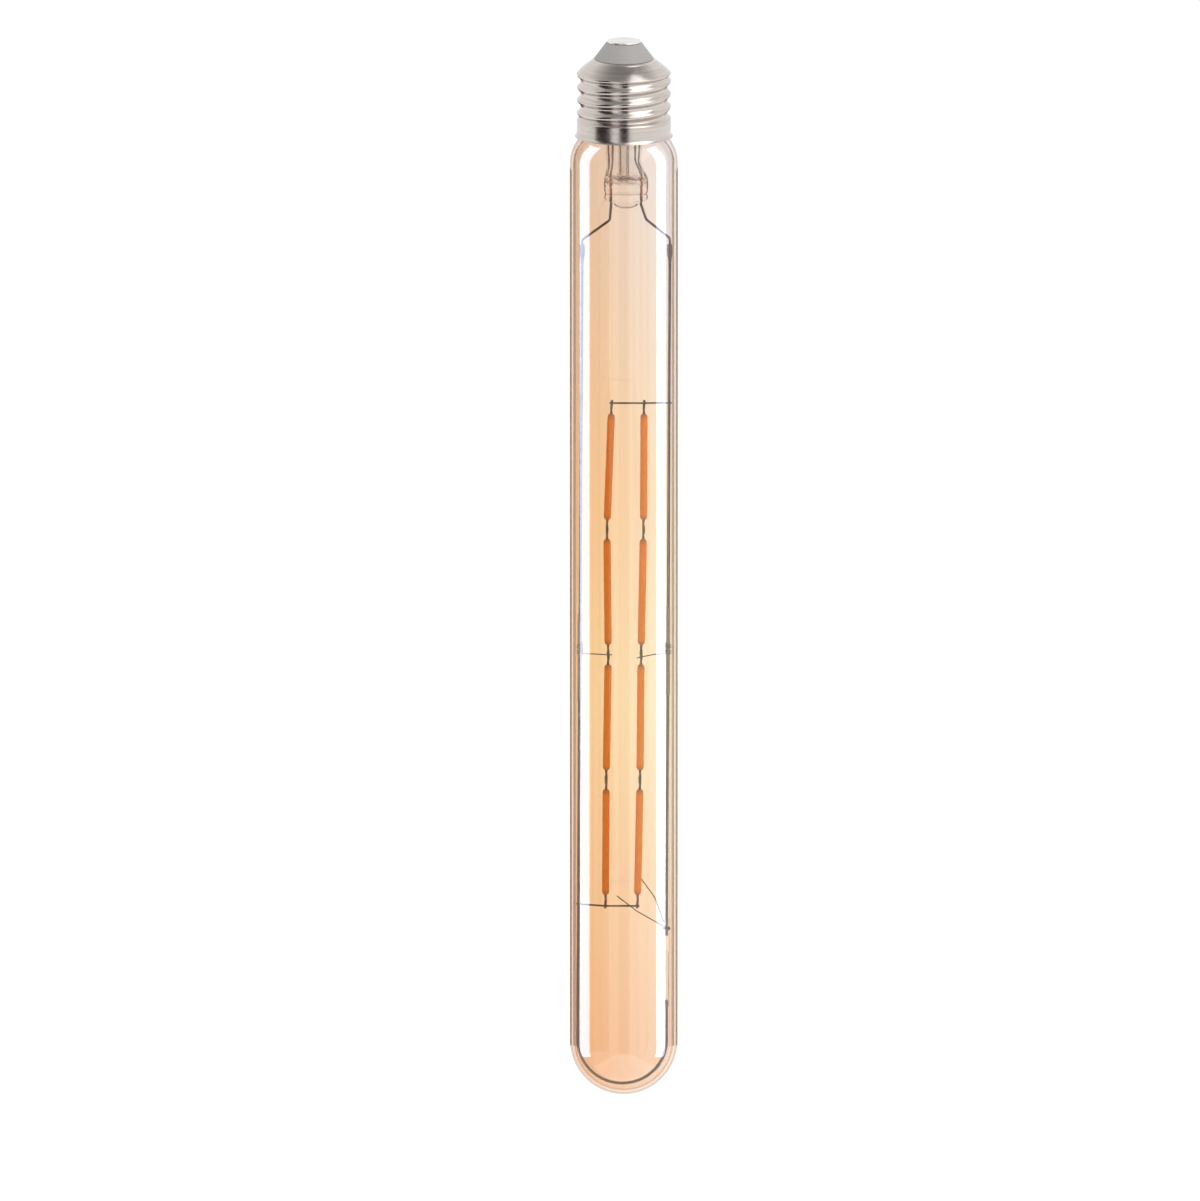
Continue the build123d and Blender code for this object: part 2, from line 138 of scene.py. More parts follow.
def angles(around):
    """Evenly spaced angles round a ring, as a row."""
    return np.linspace(0, 2 * math.pi, around, endpoint=False)[None, :]


def unit(vectors):
    """The same directions with a length of one."""
    vectors = np.asarray(vectors, float)
    return vectors / np.linalg.norm(vectors, axis=-1, keepdims=True)


def rings_about(low, high, profile, around):
    """Circles about the line from low to high, for profile rows of (radius, distance from low)."""
    low, way = np.asarray(low, float), unit(np.subtract(high, low))
    across = unit(np.cross((0, 1, 0), way))
    up = np.cross(way, across)
    profile = np.asarray(profile, float)
    radius, distance = profile[:, :1, None], profile[:, 1:, None]
    theta = angles(around)[..., None]
    return low + distance * way + radius * (np.cos(theta) * across + np.sin(theta) * up)


def rings_on_axis(profile, around=128):
    """Circles about Z, for profile rows of (radius, height)."""
    return rings_about((0, 0, 0), (0, 0, 1), profile, around)


def ovals_along(path, half_width, half_depth, keel, around, square=2.0):
    """Ovals square to a path: each is a cosine times the half width and a sine times the half depth.

    The width lies square to both the path and the keel, a direction that the path never takes. The
    cosine and sine are raised to two over the squareness, so that 2 is an ellipse and more is boxier.
    """
    path = np.asarray(path, float)
    way = unit(np.gradient(path, axis=0))
    across = unit(np.cross(keel, way))
    up = np.cross(way, across)
    theta = angles(around)
    power = 2 / np.broadcast_to(np.asarray(square, float), len(path))[:, None]
    wide = np.broadcast_to(np.asarray(half_width, float), len(path))[:, None]
    deep = np.broadcast_to(np.asarray(half_depth, float), len(path))[:, None]
    x = wide * np.sign(np.cos(theta)) * np.abs(np.cos(theta)) ** power
    y = deep * np.sign(np.sin(theta)) * np.abs(np.sin(theta)) ** power
    return path[:, None] + x[..., None] * across[:, None] + y[..., None] * up[:, None]


def drawn(path, radius, keel, around=14):
    """The skin of a round wire along a path."""
    path = np.asarray(path, float)
    return weave(ovals_along(path, radius, radius, keel, around), path[0], path[-1])


# %% [markdown]
# Real corners are never quite sharp, and on metal or glass the small round of an edge is what catches
# the light. This helper swaps each corner of a line for an arc. It serves twice: for the outline of a
# turned part, and for a wire that is bent round a former.

# %% Round the corners of a line


def rounded(points, radius, steps=6):
    """A line whose inner corners are arcs.

    The arc touches both runs at the radius divided by the tangent of half the corner's angle, kept
    under 0.45 of the shorter run, and its points turn evenly from one touching point to the other.
    """
    points = np.asarray(points, float)
    line = [points[:1]]
    for before, corner, after in zip(points, points[1:], points[2:]):
        shortest = min(np.linalg.norm(before - corner), np.linalg.norm(after - corner))
        back, on = unit(before - corner), unit(after - corner)
        half = math.acos(np.clip(back @ on, -1, 1)) / 2
        if half > math.radians(89.5):
            line.append(corner[None, :])
            continue
        reach = min(radius / math.tan(half), 0.45 * shortest)
        middle = unit(back + on) * reach / math.cos(half)
        turn = math.pi - 2 * half
        share = np.linspace(0, 1, steps)[:, None]
        spoke_in, spoke_out = back * reach - middle, on * reach - middle
        arc = (np.sin((1 - share) * turn) * spoke_in + np.sin(share * turn) * spoke_out) / math.sin(turn)
        line.append(corner + middle + arc)
    line.append(points[-1:])
    return np.vstack(line)


def tube_outline(outer, bore, length, edge):
    """A tube's section as a closed outline with rounded edges: up the outside and down the bore."""
    middle = length / 2
    return rounded([
        (outer, middle), (outer, length), (bore, length), (bore, 0), (outer, 0), (outer, middle),
    ], edge)[:-1]


# %% [markdown]
# Now the measures. Whatever the frame already knows is read from it, such as the height of the cap's
# lip or where a leaning filament begins and ends. Only what a box can't tell is named here.

# %% Measures from the frame
END_DEPTH = 0.05 * MM
TOUCH = 0.02 * MM


def ends_of(node):
    """The middles of a straight node's lower and upper ends.

    Its way is the line between the mean of its lower points and the mean of its upper ones. Each end
    is the mean of the points that lie furthest along that way.
    """
    mesh = frame["nodes"][node].data
    points = np.empty(3 * len(mesh.vertices))
    mesh.vertices.foreach_get("co", points)
    points = points.reshape(-1, 3)
    upper = points[:, 2] > (points[:, 2].min() + points[:, 2].max()) / 2
    along = points @ unit(points[upper].mean(0) - points[~upper].mean(0))
    return points[along < along.min() + END_DEPTH].mean(0), points[along > along.max() - END_DEPTH].mean(0)


shell_low, shell_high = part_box("cap_shell")
glass_low, glass_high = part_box("glass_envelope")
TUBE_RADIUS = glass_high.x
print("cap length and tube radius, mm:", round(-shell_low.z / MM, 2), round(TUBE_RADIUS / MM, 2))

# %% [markdown]
# ## The screw shell
#
# The cap's thread is rolled into thin brass and then plated. Its radius at each angle and height is
# the crest's radius less a wave that turns once in each pitch. Rolling leaves narrow crests and wide
# hollows, so the wave is raised to a power below one. It swells from nothing at the shoulder and dies
# away again at the collar, as the rollers leave it.

# %% Shape the screw shell
LIP_FLARE = 0.6 * MM
LIP_HEIGHT = 1.0 * MM
COLLAR_HEIGHT = 3.7 * MM
SHELL_WALL = 0.3 * MM
THREAD_PITCH = 3.629 * MM
THREAD_DEPTH = 1.096 * MM
THREAD_SWELL = 1.3 * MM
THREAD_START = 0.3 * MM
THREAD_END = 0.2 * MM
CREST_SHARPNESS = 0.78
SHOULDER_HEIGHT = 4.05 * MM
SHOULDER_RADIUS = 8.2 * MM
SHOULDER_CROWN = 0.35 * MM
BEAD_SWELL = 0.16 * MM
BEAD_BELOW = 0.3 * MM
BEAD_SPREAD = 0.2 * MM
ROWS_PER_PITCH = 24
AROUND_CAP = 176
CREST_RADIUS = shell_high.x - LIP_FLARE
COLLAR_Z = shell_low.z + LIP_HEIGHT + COLLAR_HEIGHT
THREAD_TOP_Z = shell_high.z - SHOULDER_HEIGHT


def eased(value, start, end):
    """0 before the start and 1 past the end, with a smooth S between: 3 s squared less 2 s cubed."""
    share = np.clip((value - start) / (end - start), 0, 1)
    return share ** 2 * (3 - 2 * share)


def shell_radius(theta, height):
    """The outside radius at an angle and a height.

    It is the crest's radius, less the thread's wave, less the shoulder's slope, plus the lip's flare.
    The slope is straight but for a crown, a half sine that makes it bulge, and ends in a rolled bead.
    """
    turn = theta - 2 * math.pi * (height - COLLAR_Z) / THREAD_PITCH
    wave = THREAD_DEPTH * ((1 - np.cos(turn)) / 2) ** CREST_SHARPNESS
    wave = wave * eased(height, COLLAR_Z - THREAD_START, COLLAR_Z + THREAD_SWELL)
    wave = wave * (1 - eased(height, THREAD_TOP_Z - THREAD_SWELL, THREAD_TOP_Z + THREAD_END))
    up = np.clip((height - THREAD_TOP_Z) / SHOULDER_HEIGHT, 0, 1)
    slope = up * (CREST_RADIUS - SHOULDER_RADIUS) - SHOULDER_CROWN * np.sin(math.pi * up)
    flare = np.clip((shell_low.z + LIP_HEIGHT - height) / LIP_HEIGHT, 0, 1) ** 1.5
    bead = BEAD_SWELL * np.exp(-((height - shell_high.z + BEAD_BELOW) / BEAD_SPREAD) ** 2)
    return CREST_RADIUS - wave - slope + LIP_FLARE * flare + bead


def screw_shell():
    """The shell as one looped skin: up the outside, and down the inside one sheet's thickness in.

    The rings stand close together at the lip, the thread and the bead, and further apart between them.
    """
    rows = round((THREAD_TOP_Z - COLLAR_Z) / THREAD_PITCH * ROWS_PER_PITCH)
    heights = np.concatenate([
        np.linspace(shell_low.z, shell_low.z + LIP_HEIGHT, 8),
        np.linspace(shell_low.z + LIP_HEIGHT + 0.3 * MM, COLLAR_Z - 0.5 * MM, 6),
        np.linspace(COLLAR_Z - THREAD_START, THREAD_TOP_Z + THREAD_END, rows),
        np.linspace(THREAD_TOP_Z + 0.5 * MM, shell_high.z - 0.8 * MM, 8),
        np.linspace(shell_high.z - 0.7 * MM, shell_high.z, 12),
    ])[:, None]
    theta = angles(AROUND_CAP)
    outside = shell_radius(theta, heights)
    radius = np.vstack([outside, outside[::-1] - SHELL_WALL])
    height = np.broadcast_to(np.vstack([heights, heights[::-1]]), radius.shape)
    return weave(np.stack([radius * np.cos(theta), radius * np.sin(theta), height], axis=-1), looped=True)


place(mesh_of("screw_shell", screw_shell()), "nickel_shell", "cap_shell")

# %% [markdown]
# ## Insulator and contact
#
# A pale moulded cone keeps the contact off the shell. Its top and bottom edges are softly rounded.
# The contact is a stamped disc: a shallow pressed ring round its middle catches a circle of light.
# The cone's foot spreads over the shell's rolled bead and hides the joint.

# %% Shape the insulator and the contact
insulator_low, insulator_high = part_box("cap_insulator")
contact_low, contact_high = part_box("centre_contact")
INSULATOR_TOP_RADIUS = 4.95 * MM
EYELET_RADIUS = 1.6 * MM
EYELET_GAP = 0.06 * MM
SKIRT_WALL = 1.3 * MM
CEILING_RADIUS = 7.0 * MM
CEILING_HEIGHT = 1.2 * MM
FOOT_RADIUS = 8.35 * MM
CONE_EDGE = 0.3 * MM
CONTACT_EDGE = 0.2 * MM
CONTACT_CROWN = 0.04 * MM
PRESSED_DEPTH = 0.12 * MM


def insulator():
    """The cone's section as a loop: up the outside, over the top and down the inside."""
    skirt = insulator_high.x
    inner = skirt - SKIRT_WALL
    neck = SHOULDER_RADIUS - SHELL_WALL - TOUCH
    thread_top = THREAD_TOP_Z - SHELL_WALL - TOUCH
    return weave(rings_on_axis(rounded([
        (skirt - SKIRT_WALL / 2, insulator_low.z),
        (skirt, insulator_low.z),
        (skirt, thread_top),
        (neck, shell_high.z - SHELL_WALL - TOUCH),
        (neck, shell_high.z + TOUCH),
        (FOOT_RADIUS, shell_high.z + TOUCH),
        (INSULATOR_TOP_RADIUS, insulator_high.z),
        (EYELET_RADIUS + EYELET_GAP, insulator_high.z),
        (EYELET_RADIUS + EYELET_GAP, shell_high.z + CEILING_HEIGHT),
        (CEILING_RADIUS, shell_high.z + CEILING_HEIGHT),
        (inner, thread_top),
        (inner, insulator_low.z),
        (skirt - SKIRT_WALL / 2, insulator_low.z),
    ], CONE_EDGE)[:-1]), looped=True)


def contact():
    """A disc with a rolled edge and one pressed ring, and its eyelet underneath."""
    disc, top, under = contact_high.x, contact_high.z, insulator_high.z
    profile = rounded([
        (0, contact_low.z),
        (EYELET_RADIUS, contact_low.z),
        (EYELET_RADIUS, under + TOUCH),
        (disc, under + TOUCH),
        (disc, top - CONTACT_CROWN),
        (0.8 * disc, top),
        (0.62 * disc, top),
        (0.54 * disc, top - PRESSED_DEPTH),
        (0.46 * disc, top),
        (0, top),
    ], CONTACT_EDGE)
    return weave(rings_on_axis(profile[1:-1]), (0, 0, contact_low.z), (0, 0, top))


place(mesh_of("insulator_cone", insulator()), "pale_insulator", "cap_insulator")
place(mesh_of("contact_disc", contact()), "contact_metal", "centre_contact")

# %% [markdown]
# ## The glass tube
#
# Tubing was heated and blown to one even wall: a neck that goes up into the cap, a double bend out
# to the tube, and a round dome. The skin is a real wall with an outside and an inside, because glass
# bends light at both, and the bright and dark lines along a tube's edges come from exactly that.

# %% Blow the glass
GLASS_WALL = 1.0 * MM
NECK_RADIUS = 11.019 * MM
BEND_START = 4.5 * MM
BEND_HEIGHT = 12.0 * MM
AROUND_GLASS = 288


def glass_line(inset):
    """The blown outline from the dome's pole up to the neck's rim, drawn in by an inset.

    The dome is a quarter circle. The double bend is two equal arcs that meet half way out, and their
    radius is the height squared plus the width squared, over four times the width. The straight tube
    has close rings at both ends, so that the shading of a bend doesn't creep along it.
    """
    width = TUBE_RADIUS - NECK_RADIUS
    bend = (BEND_HEIGHT ** 2 + width ** 2) / (4 * width)
    sweep = math.asin(BEND_HEIGHT / 2 / bend)
    dome_z = glass_low.z + TUBE_RADIUS
    top_z = shell_low.z + BEND_START
    low_z = top_z - BEND_HEIGHT
    dome = np.linspace(0, math.pi / 2, 44)
    out, neck = np.linspace(0, sweep, 18), np.linspace(sweep, 0, 18)
    ease = 0.2 * MM
    middle = np.linspace(dome_z + 2 * MM, low_z - 2 * MM, 50)
    straight = np.concatenate([[dome_z + ease], middle, [low_z - ease]])
    runs = [
        ((TUBE_RADIUS - inset) * np.sin(dome), dome_z - (TUBE_RADIUS - inset) * np.cos(dome)),
        (np.full(len(straight), TUBE_RADIUS - inset), straight),
        (TUBE_RADIUS - bend + (bend - inset) * np.cos(out), low_z + (bend - inset) * np.sin(out)),
        (NECK_RADIUS + bend - (bend + inset) * np.cos(neck), top_z - (bend + inset) * np.sin(neck)),
        (np.full(4, NECK_RADIUS - inset), np.linspace(top_z, glass_high.z, 5)[1:]),
    ]
    return np.column_stack([np.concatenate(side) for side in zip(*runs)])


def glass_tube():
    """Up the outside from the dome's pole, over the rim, and down the inside to the inner pole."""
    outline = np.vstack([glass_line(0)[1:], glass_line(GLASS_WALL)[:0:-1]])
    rings = rings_on_axis(outline, AROUND_GLASS)
    return weave(rings, (0, 0, glass_low.z), (0, 0, glass_low.z + GLASS_WALL))


glass_piece = place(mesh_of("glass_tube", glass_tube()), "amber_glass", "glass_envelope")

# %% [markdown]
# ## The stem
#
# Inside the neck hangs the stem: a thin glass tube, flared at the top to join the neck, whose lower
# end was softened and pinched flat round two wires. We make it from rings too, but each ring is a
# rounded box whose width, depth and squareness change with height. Jaws leave glass uneven, so the
# walls carry wrinkles that are strongest where the hollow ends.

# %% Pinch the stem
stem_low, stem_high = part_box("stem_press")
PRESS_SHIFT = 0.6 * MM
SHIFTED_Z = -39.0 * MM
STEM_WALL = 0.9 * MM
FLARE_BEND = 1.4 * MM
FLARE_UNDER_RADIUS = 9.4 * MM
FLARE_MOUTH_RADIUS = 8.7 * MM
NECK_PLAY = 0.1 * MM
RING_STEP = 0.2 * MM
SKIN_WRINKLES = 0.3 * MM
HOLLOW_WRINKLES = 0.8 * MM
WRINKLE_SPREAD = 1.5 * MM
FLARE_Z = -20.5 * MM
FLARE_RADIUS = 5.55 * MM
PINCH_Z = -34.0 * MM
PINCH_RADIUS = 4.85 * MM
HOLLOW_END_Z = -39.6 * MM
EXHAUST_BORE = 0.8 * MM
EXHAUST_EDGE = 0.15 * MM
AROUND_STEM = 144
# Stations of the outside from the chin up: height, half width, half depth, squareness
PRESS_STATIONS = np.array([
    (-47.45, 1.6, 0.7, 2.0),
    (-47.1, 2.7, 1.2, 2.1),
    (-46.5, 3.35, 1.6, 2.3),
    (-45.9, 3.6, 1.8, 2.6),
    (-45.55, 4.9, 1.7, 3.0),
    (-45.2, 5.7, 1.6, 3.2),
    (-44.6, 6.05, 1.5, 3.4),
    (-43.85, 6.0, 1.5, 3.6),
    (-43.5, 5.75, 0.7, 3.6),
    (-43.15, 5.9, 1.6, 3.4),
    (-42.0, 6.15, 1.75, 3.0),
    (-40.5, 6.15, 1.8, 2.8),
    (-39.0, 6.05, 1.95, 2.5),
    (-37.6, 5.5, 2.7, 2.2),
    (-36.3, 5.05, 3.7, 2.1),
    (-35.1, 4.9, 4.6, 2.0),
    (-34.0, 4.85, 4.85, 2.0),
]) * (MM, MM, MM, 1)
HOLLOW_STATIONS = np.array([
    (-39.55, 2.6, 0.2, 2.0),
    (-39.2, 4.4, 0.5, 2.0),
    (-38.6, 4.85, 0.9, 2.0),
    (-37.6, 4.6, 1.7, 2.0),
    (-36.3, 4.2, 2.8, 2.0),
    (-35.1, 4.0, 3.7, 2.0),
    (-34.0, 3.95, 3.95, 2.0),
]) * (MM, MM, MM, 1)


def smooth_stations(stations, count):
    """More stations between the given ones, each averaged with its neighbours so that no kink shows."""
    z = np.linspace(stations[0, 0], stations[-1, 0], count)
    table = np.column_stack([np.interp(z, stations[:, 0], stations[:, k]) for k in range(1, 4)])
    pad = np.vstack([table[:1], table, table[-1:]])
    return np.column_stack([z, (pad[:-2] + 2 * pad[1:-1] + pad[2:]) / 4])


def wrinkles(x, z, depth):
    """Waves across the pinch, of three lengths that never line up, strongest at the hollow's end."""
    near = np.exp(-((z - HOLLOW_END_Z - 0.2 * MM) / WRINKLE_SPREAD) ** 2)
    long_wave = np.sin(x / MM * 1.3 + z / MM * 3.7 + 2.0)
    middle_wave = np.sin(x / MM * 3.1 + z / MM * 2.9)
    short_wave = np.sin(x / MM * 6.3 - z / MM * 4.7 + 1.0)
    return depth * near * (0.45 * long_wave + 0.5 * middle_wave + 0.35 * short_wave)


def pressed(stations, wrinkle_depth):
    """The pinched rings: rounded boxes, moved aside towards the chin, with wrinkles front and back."""
    z, wide, deep, square = (stations[:, k:k + 1] for k in range(4))
    theta = angles(AROUND_STEM)
    x = wide * np.sign(np.cos(theta)) * np.abs(np.cos(theta)) ** (2 / square)
    y = deep * np.sign(np.sin(theta)) * np.abs(np.sin(theta)) ** (2 / square)
    y = y + np.sin(theta) * wrinkles(x, z, wrinkle_depth)
    shift = PRESS_SHIFT * eased(-z, -PINCH_Z, -SHIFTED_Z)
    return np.stack(np.broadcast_arrays(x + shift, y, z), axis=-1)


def stem():
    """Up the outside from the chin, over the flare's rim, and down the inside to the hollow's end."""
    rim = NECK_RADIUS - NECK_PLAY
    flare = rounded([
        (PINCH_RADIUS, PINCH_Z + RING_STEP),
        (FLARE_RADIUS, FLARE_Z),
        (FLARE_UNDER_RADIUS, stem_high.z - STEM_WALL),
        (rim, stem_high.z - STEM_WALL),
        (rim, stem_high.z),
        (FLARE_MOUTH_RADIUS, stem_high.z),
        (FLARE_RADIUS - STEM_WALL, FLARE_Z + RING_STEP),
        (PINCH_RADIUS - STEM_WALL, PINCH_Z + RING_STEP),
    ], FLARE_BEND, 10)
    rings = np.concatenate([
        pressed(smooth_stations(PRESS_STATIONS, 96), SKIN_WRINKLES),
        rings_on_axis(flare, AROUND_STEM),
        pressed(smooth_stations(HOLLOW_STATIONS, 48)[::-1], HOLLOW_WRINKLES),
    ])
    return weave(rings, (PRESS_SHIFT, 0, stem_low.z), (PRESS_SHIFT, 0, HOLLOW_END_Z))


def exhaust():
    """The thin tube on the axis: down the bore from the melted tip, round the cut end, up the outside."""
    low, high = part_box("exhaust_tube")
    outer, bore, edge = high.x, EXHAUST_BORE, EXHAUST_EDGE
    top = high.z - outer
    tip = np.linspace(0, math.pi / 2, 10)
    inside = np.column_stack([bore * np.sin(tip), top - bore + bore * np.cos(tip)])[1:]
    outside = np.column_stack([outer * np.cos(tip), top + outer * np.sin(tip)])[:-1]
    ends = [(bore, low.z + edge), (bore + edge, low.z), (outer - edge, low.z), (outer, low.z + edge)]
    return weave(rings_on_axis(np.vstack([inside, ends, outside]), 64), (0, 0, top), (0, 0, high.z))


stem_piece = place(mesh_of("stem", stem()), "stem_glass", "stem_press")
place(mesh_of("exhaust", exhaust()), "stem_glass", "exhaust_tube")

# %% [markdown]
# ## Ferrules and glass sleeves
#
# A ferrule joins each lead-in wire to its support: a short metal tube pinched twice and run round
# with solder, which leaves a tapered foot. The glass sleeves keep the tie wires off the supports.
# They are cut from thin tubing and held in a flame, so that their edges are rounded.

# %% Crimp the ferrules
WIRE_RADIUS = 0.425 * MM
LEAD_RADIUS = 0.35 * MM
FOOT_LENGTH = 1.3 * MM
FOOT_EDGE = 0.03 * MM
TOP_RADIUS = 0.66 * MM
FERRULE_EDGE = 0.3 * MM
# Stations of the outside from the foot up: radius, distance from the tube's lower end
FERRULE_STATIONS = np.array([
    (0.55, -0.4),
    (0.70, 0.3),
    (0.77, 0.8),
    (0.68, 1.2),
    (0.77, 1.6),
    (0.78, 2.1),
    (0.69, 2.5),
    (0.76, 2.9),
]) * MM


def ferrule(node):
    """A looped outline about the node's own line: the foot, two pinches and the top edge, then the bore."""
    low, high = ends_of(node)
    length = np.linalg.norm(high - low)
    foot = -FOOT_LENGTH
    fit, upper_fit = WIRE_RADIUS + TOUCH, LEAD_RADIUS + TOUCH
    outline = [(fit + FOOT_EDGE, foot), *FERRULE_STATIONS, (TOP_RADIUS, length), (upper_fit, length)]
    outline += [(upper_fit, length / 2 + TOUCH), (fit, length / 2 - TOUCH), (fit, foot)]
    return weave(rings_about(low, high, rounded(outline, FERRULE_EDGE, 4), 40), looped=True)


for side in ("left", "right"):
    place(mesh_of(f"ferrule_{side}", ferrule(f"joint_sleeve_{side}")), "nickel_wire", f"joint_sleeve_{side}")

# %% Cut the glass sleeves
SLEEVE_BORE = 0.475 * MM
MID_SLEEVE_WALL = 0.2 * MM
LOWER_TUBE_WALL = 0.24 * MM
SLEEVE_EDGE = 0.09 * MM


def glass_sleeve(node, wall):
    """A thin tube about the node's own line."""
    low, high = ends_of(node)
    outline = tube_outline(SLEEVE_BORE + wall, SLEEVE_BORE, np.linalg.norm(high - low), SLEEVE_EDGE)
    return weave(rings_about(low, high, outline, 48), looped=True)


for side in ("left", "right"):
    node_name = f"mid_sleeve_{side}"
    mid_tube = mesh_of(f"glass_sleeve_{side}", glass_sleeve(node_name, MID_SLEEVE_WALL))
    place(mid_tube, "sleeve_glass", node_name)
lower_tube = mesh_of("lower_glass_sleeve", glass_sleeve("bottom_insulator_tube", LOWER_TUBE_WALL))
place(lower_tube, "sleeve_glass", "bottom_insulator_tube")

# %% [markdown]
# ## Tie wires
#
# Half way down, each chain is steadied by a fine wire that was wound by hand over the glass sleeve
# and then run out to the weld between two filaments. Turns wound by hand are never evenly spaced, so
# the helix's height follows the angle with a slow wave added.

# %% Wind the tie wires
TIE_RADIUS = 0.15 * MM
TIE_TURNS = 4
TIE_BELOW = 0.4 * MM
WELD_TO_TIP = 1.2 * MM
TIE_WANDER = 0.035
TIE_BEND = 8 * MM
TURN_STEPS = 22


def helix(first, last, radius, start_angle, turn, wander):
    """Turns round the line from first to last: the angle grows evenly, the height with a small wave."""
    share = np.linspace(0, 1, round(abs(turn) * TURN_STEPS) + 1)[:, None]
    angle = start_angle + 2 * math.pi * turn * share
    height = share + wander * np.sin(math.pi * share * abs(turn))
    spokes = np.concatenate([np.cos(angle), np.sin(angle), 0 * angle], axis=1)
    return first + (last - first) * height + radius * spokes


def mid_tie(side, way, drop):
    """From the loose top end, down round the sleeve, then across behind the chain and past its weld."""
    low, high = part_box(f"mid_tie_{side}")
    sleeve_low, sleeve_high = ends_of(f"mid_sleeve_{side}")
    lean = (sleeve_high - sleeve_low) / (sleeve_high[2] - sleeve_low[2])
    mid_z = low.z + TIE_BELOW
    centre = sleeve_low + lean * (mid_z - sleeve_low[2])
    top = centre + lean * (high.z - TIE_RADIUS - mid_z)
    radius = SLEEVE_BORE + MID_SLEEVE_WALL + TOUCH + TIE_RADIUS
    turns = helix(top, centre, radius, math.pi / 2, way * TIE_TURNS, TIE_WANDER)
    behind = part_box(f"filament_{side}_2_strip")[1].y + TOUCH + TIE_RADIUS
    tip_x = high.x - TIE_RADIUS if side == "left" else low.x + TIE_RADIUS
    weld_x = tip_x + way * WELD_TO_TIP
    run = rounded([
        turns[-1],
        (0.5 * (centre[0] + weld_x), 0.6 * radius, mid_z - 0.1 * drop),
        (weld_x, behind, mid_z - 0.7 * drop),
        (tip_x, behind, mid_z - drop),
    ], TIE_BEND, 8)
    return drawn(np.vstack([turns, run[1:]]), TIE_RADIUS, (0, 0.1, 1), 10)


place(mesh_of("tie_left", mid_tie("left", -1, 0.2 * MM)), "tie_wire", "mid_tie_left")
place(mesh_of("tie_right", mid_tie("right", 1, 1.1 * MM)), "tie_wire", "mid_tie_right")

# %% [markdown]
# The lower tie is one wire too: its front tail slopes down to the glass sleeve, goes round it two and
# a half times and comes away behind the chain.

# %% Wind the lower tie
LOWER_TIE_HEIGHT = 0.9 * MM
LOWER_TIE_DROP = 6.6 * MM
LOWER_TIE_TURNS = 2.5
LOWER_TIE_WANDER = 0.03
LOWER_TIE_BEND = 6 * MM
BAR_RADIUS = 0.25 * MM
# Points of the tails: place across, height over the bar
FRONT_TAIL = np.array([(-2.0, 3.0), (3.8, -1.5)]) * MM
BACK_TAIL = np.array([(8.6, 2.2), (4.4, 8.0)]) * MM
bar_low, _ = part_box("bottom_bar")


def lower_tie():
    """Front tail, turns and back tail as one path, with the tails' points measured from the bar."""
    bar_z = bar_low.z + BAR_RADIUS
    sleeve_low, _ = ends_of("bottom_insulator_tube")
    middle = np.array([sleeve_low[0], 0, bar_z - LOWER_TIE_DROP])
    half = np.array([0, 0, LOWER_TIE_HEIGHT / 2 - TIE_RADIUS])
    radius = SLEEVE_BORE + LOWER_TUBE_WALL + TOUCH + TIE_RADIUS
    turns = helix(middle + half, middle - half, radius, -math.pi / 2, LOWER_TIE_TURNS, LOWER_TIE_WANDER)
    before = bar_low.y - TOUCH - TIE_RADIUS
    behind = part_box("filament_right_4_coat")[1].y + TOUCH + TIE_RADIUS
    front = [*((x, before, bar_z + rise) for x, rise in FRONT_TAIL), turns[0]]
    back = [turns[-1], *((x, behind, bar_z + rise) for x, rise in BACK_TAIL)]
    tails = [rounded(tail, LOWER_TIE_BEND, 8) for tail in (front, back)]
    return drawn(np.vstack([tails[0][:-1], turns, tails[1][1:]]), TIE_RADIUS, (0.1, 1, 0.2), 10)


place(mesh_of("lower_tie", lower_tie()), "tie_wire", "lower_tie_wire")

# %% [markdown]
# ## Filaments
#
# A filament is a strip of tiny lights with silicone moulded round it. The silicone draws in to a
# round nose at each end, where the flat lead comes out. Its thickness wanders very slightly along its
# length. Each point also carries how far along it lies, so that the finish can darken near the ends.

# %% Mould the filament coats
COAT_RADIUS = 1.03 * MM
NOSE_LENGTH = 1.3 * MM
NOSE_SHARE = 0.5
COAT_STATIONS = 90
COAT_AROUND = 28
LONG_WAVER = 0.012
SHORT_WAVER = 0.006


def coat(node, phase):
    """Rings about the node's line. In the nose the radius follows a quarter circle up to full size."""
    low, high = ends_of(node)
    length = np.linalg.norm(high - low)
    spread_out = np.sin(math.pi / 2 * np.linspace(-1, 1, COAT_STATIONS))
    distance = length * (0.5 + 0.5 * spread_out)
    from_end = np.minimum(distance, length - distance)
    nose = np.sqrt(1 - (1 - np.clip(from_end / NOSE_LENGTH, 0, 1)) ** 2)
    waver = LONG_WAVER * (1 + np.sin(distance / MM * 0.9 + phase))
    waver = waver + SHORT_WAVER * np.sin(distance / MM * 2.3 + phase)
    radius = COAT_RADIUS * (NOSE_SHARE + (1 - NOSE_SHARE) * nose) * (1 - waver)
    rings = rings_about(low, high, np.column_stack([radius, distance]), COAT_AROUND)
    mesh = mesh_of(node.replace("filament", "coat").replace("_coat", ""), weave(rings, low, high))
    along = mesh.attributes.new("along", "FLOAT", "POINT")
    share = np.concatenate([np.repeat(distance / length, COAT_AROUND), [0, 1]])
    along.data.foreach_set("value", share.astype(np.float32))
    return mesh


for side in ("left", "right"):
    for number in range(1, 5):
        node_name = f"filament_{side}_{number}_coat"
        place(coat(node_name, 1.7 * number + len(side)), f"phosphor_coat_{side}", node_name)

# %% [markdown]
# The leads are stamped flat and thin. Each has a narrow neck just outside the coat, which gives when
# the wire warms, and a swollen end where it was welded to a bar or to the next filament's lead.

# %% Stamp the leads
LEAD_INSIDE = 1.5 * MM
LEAD_SWAY = 0.06 * MM
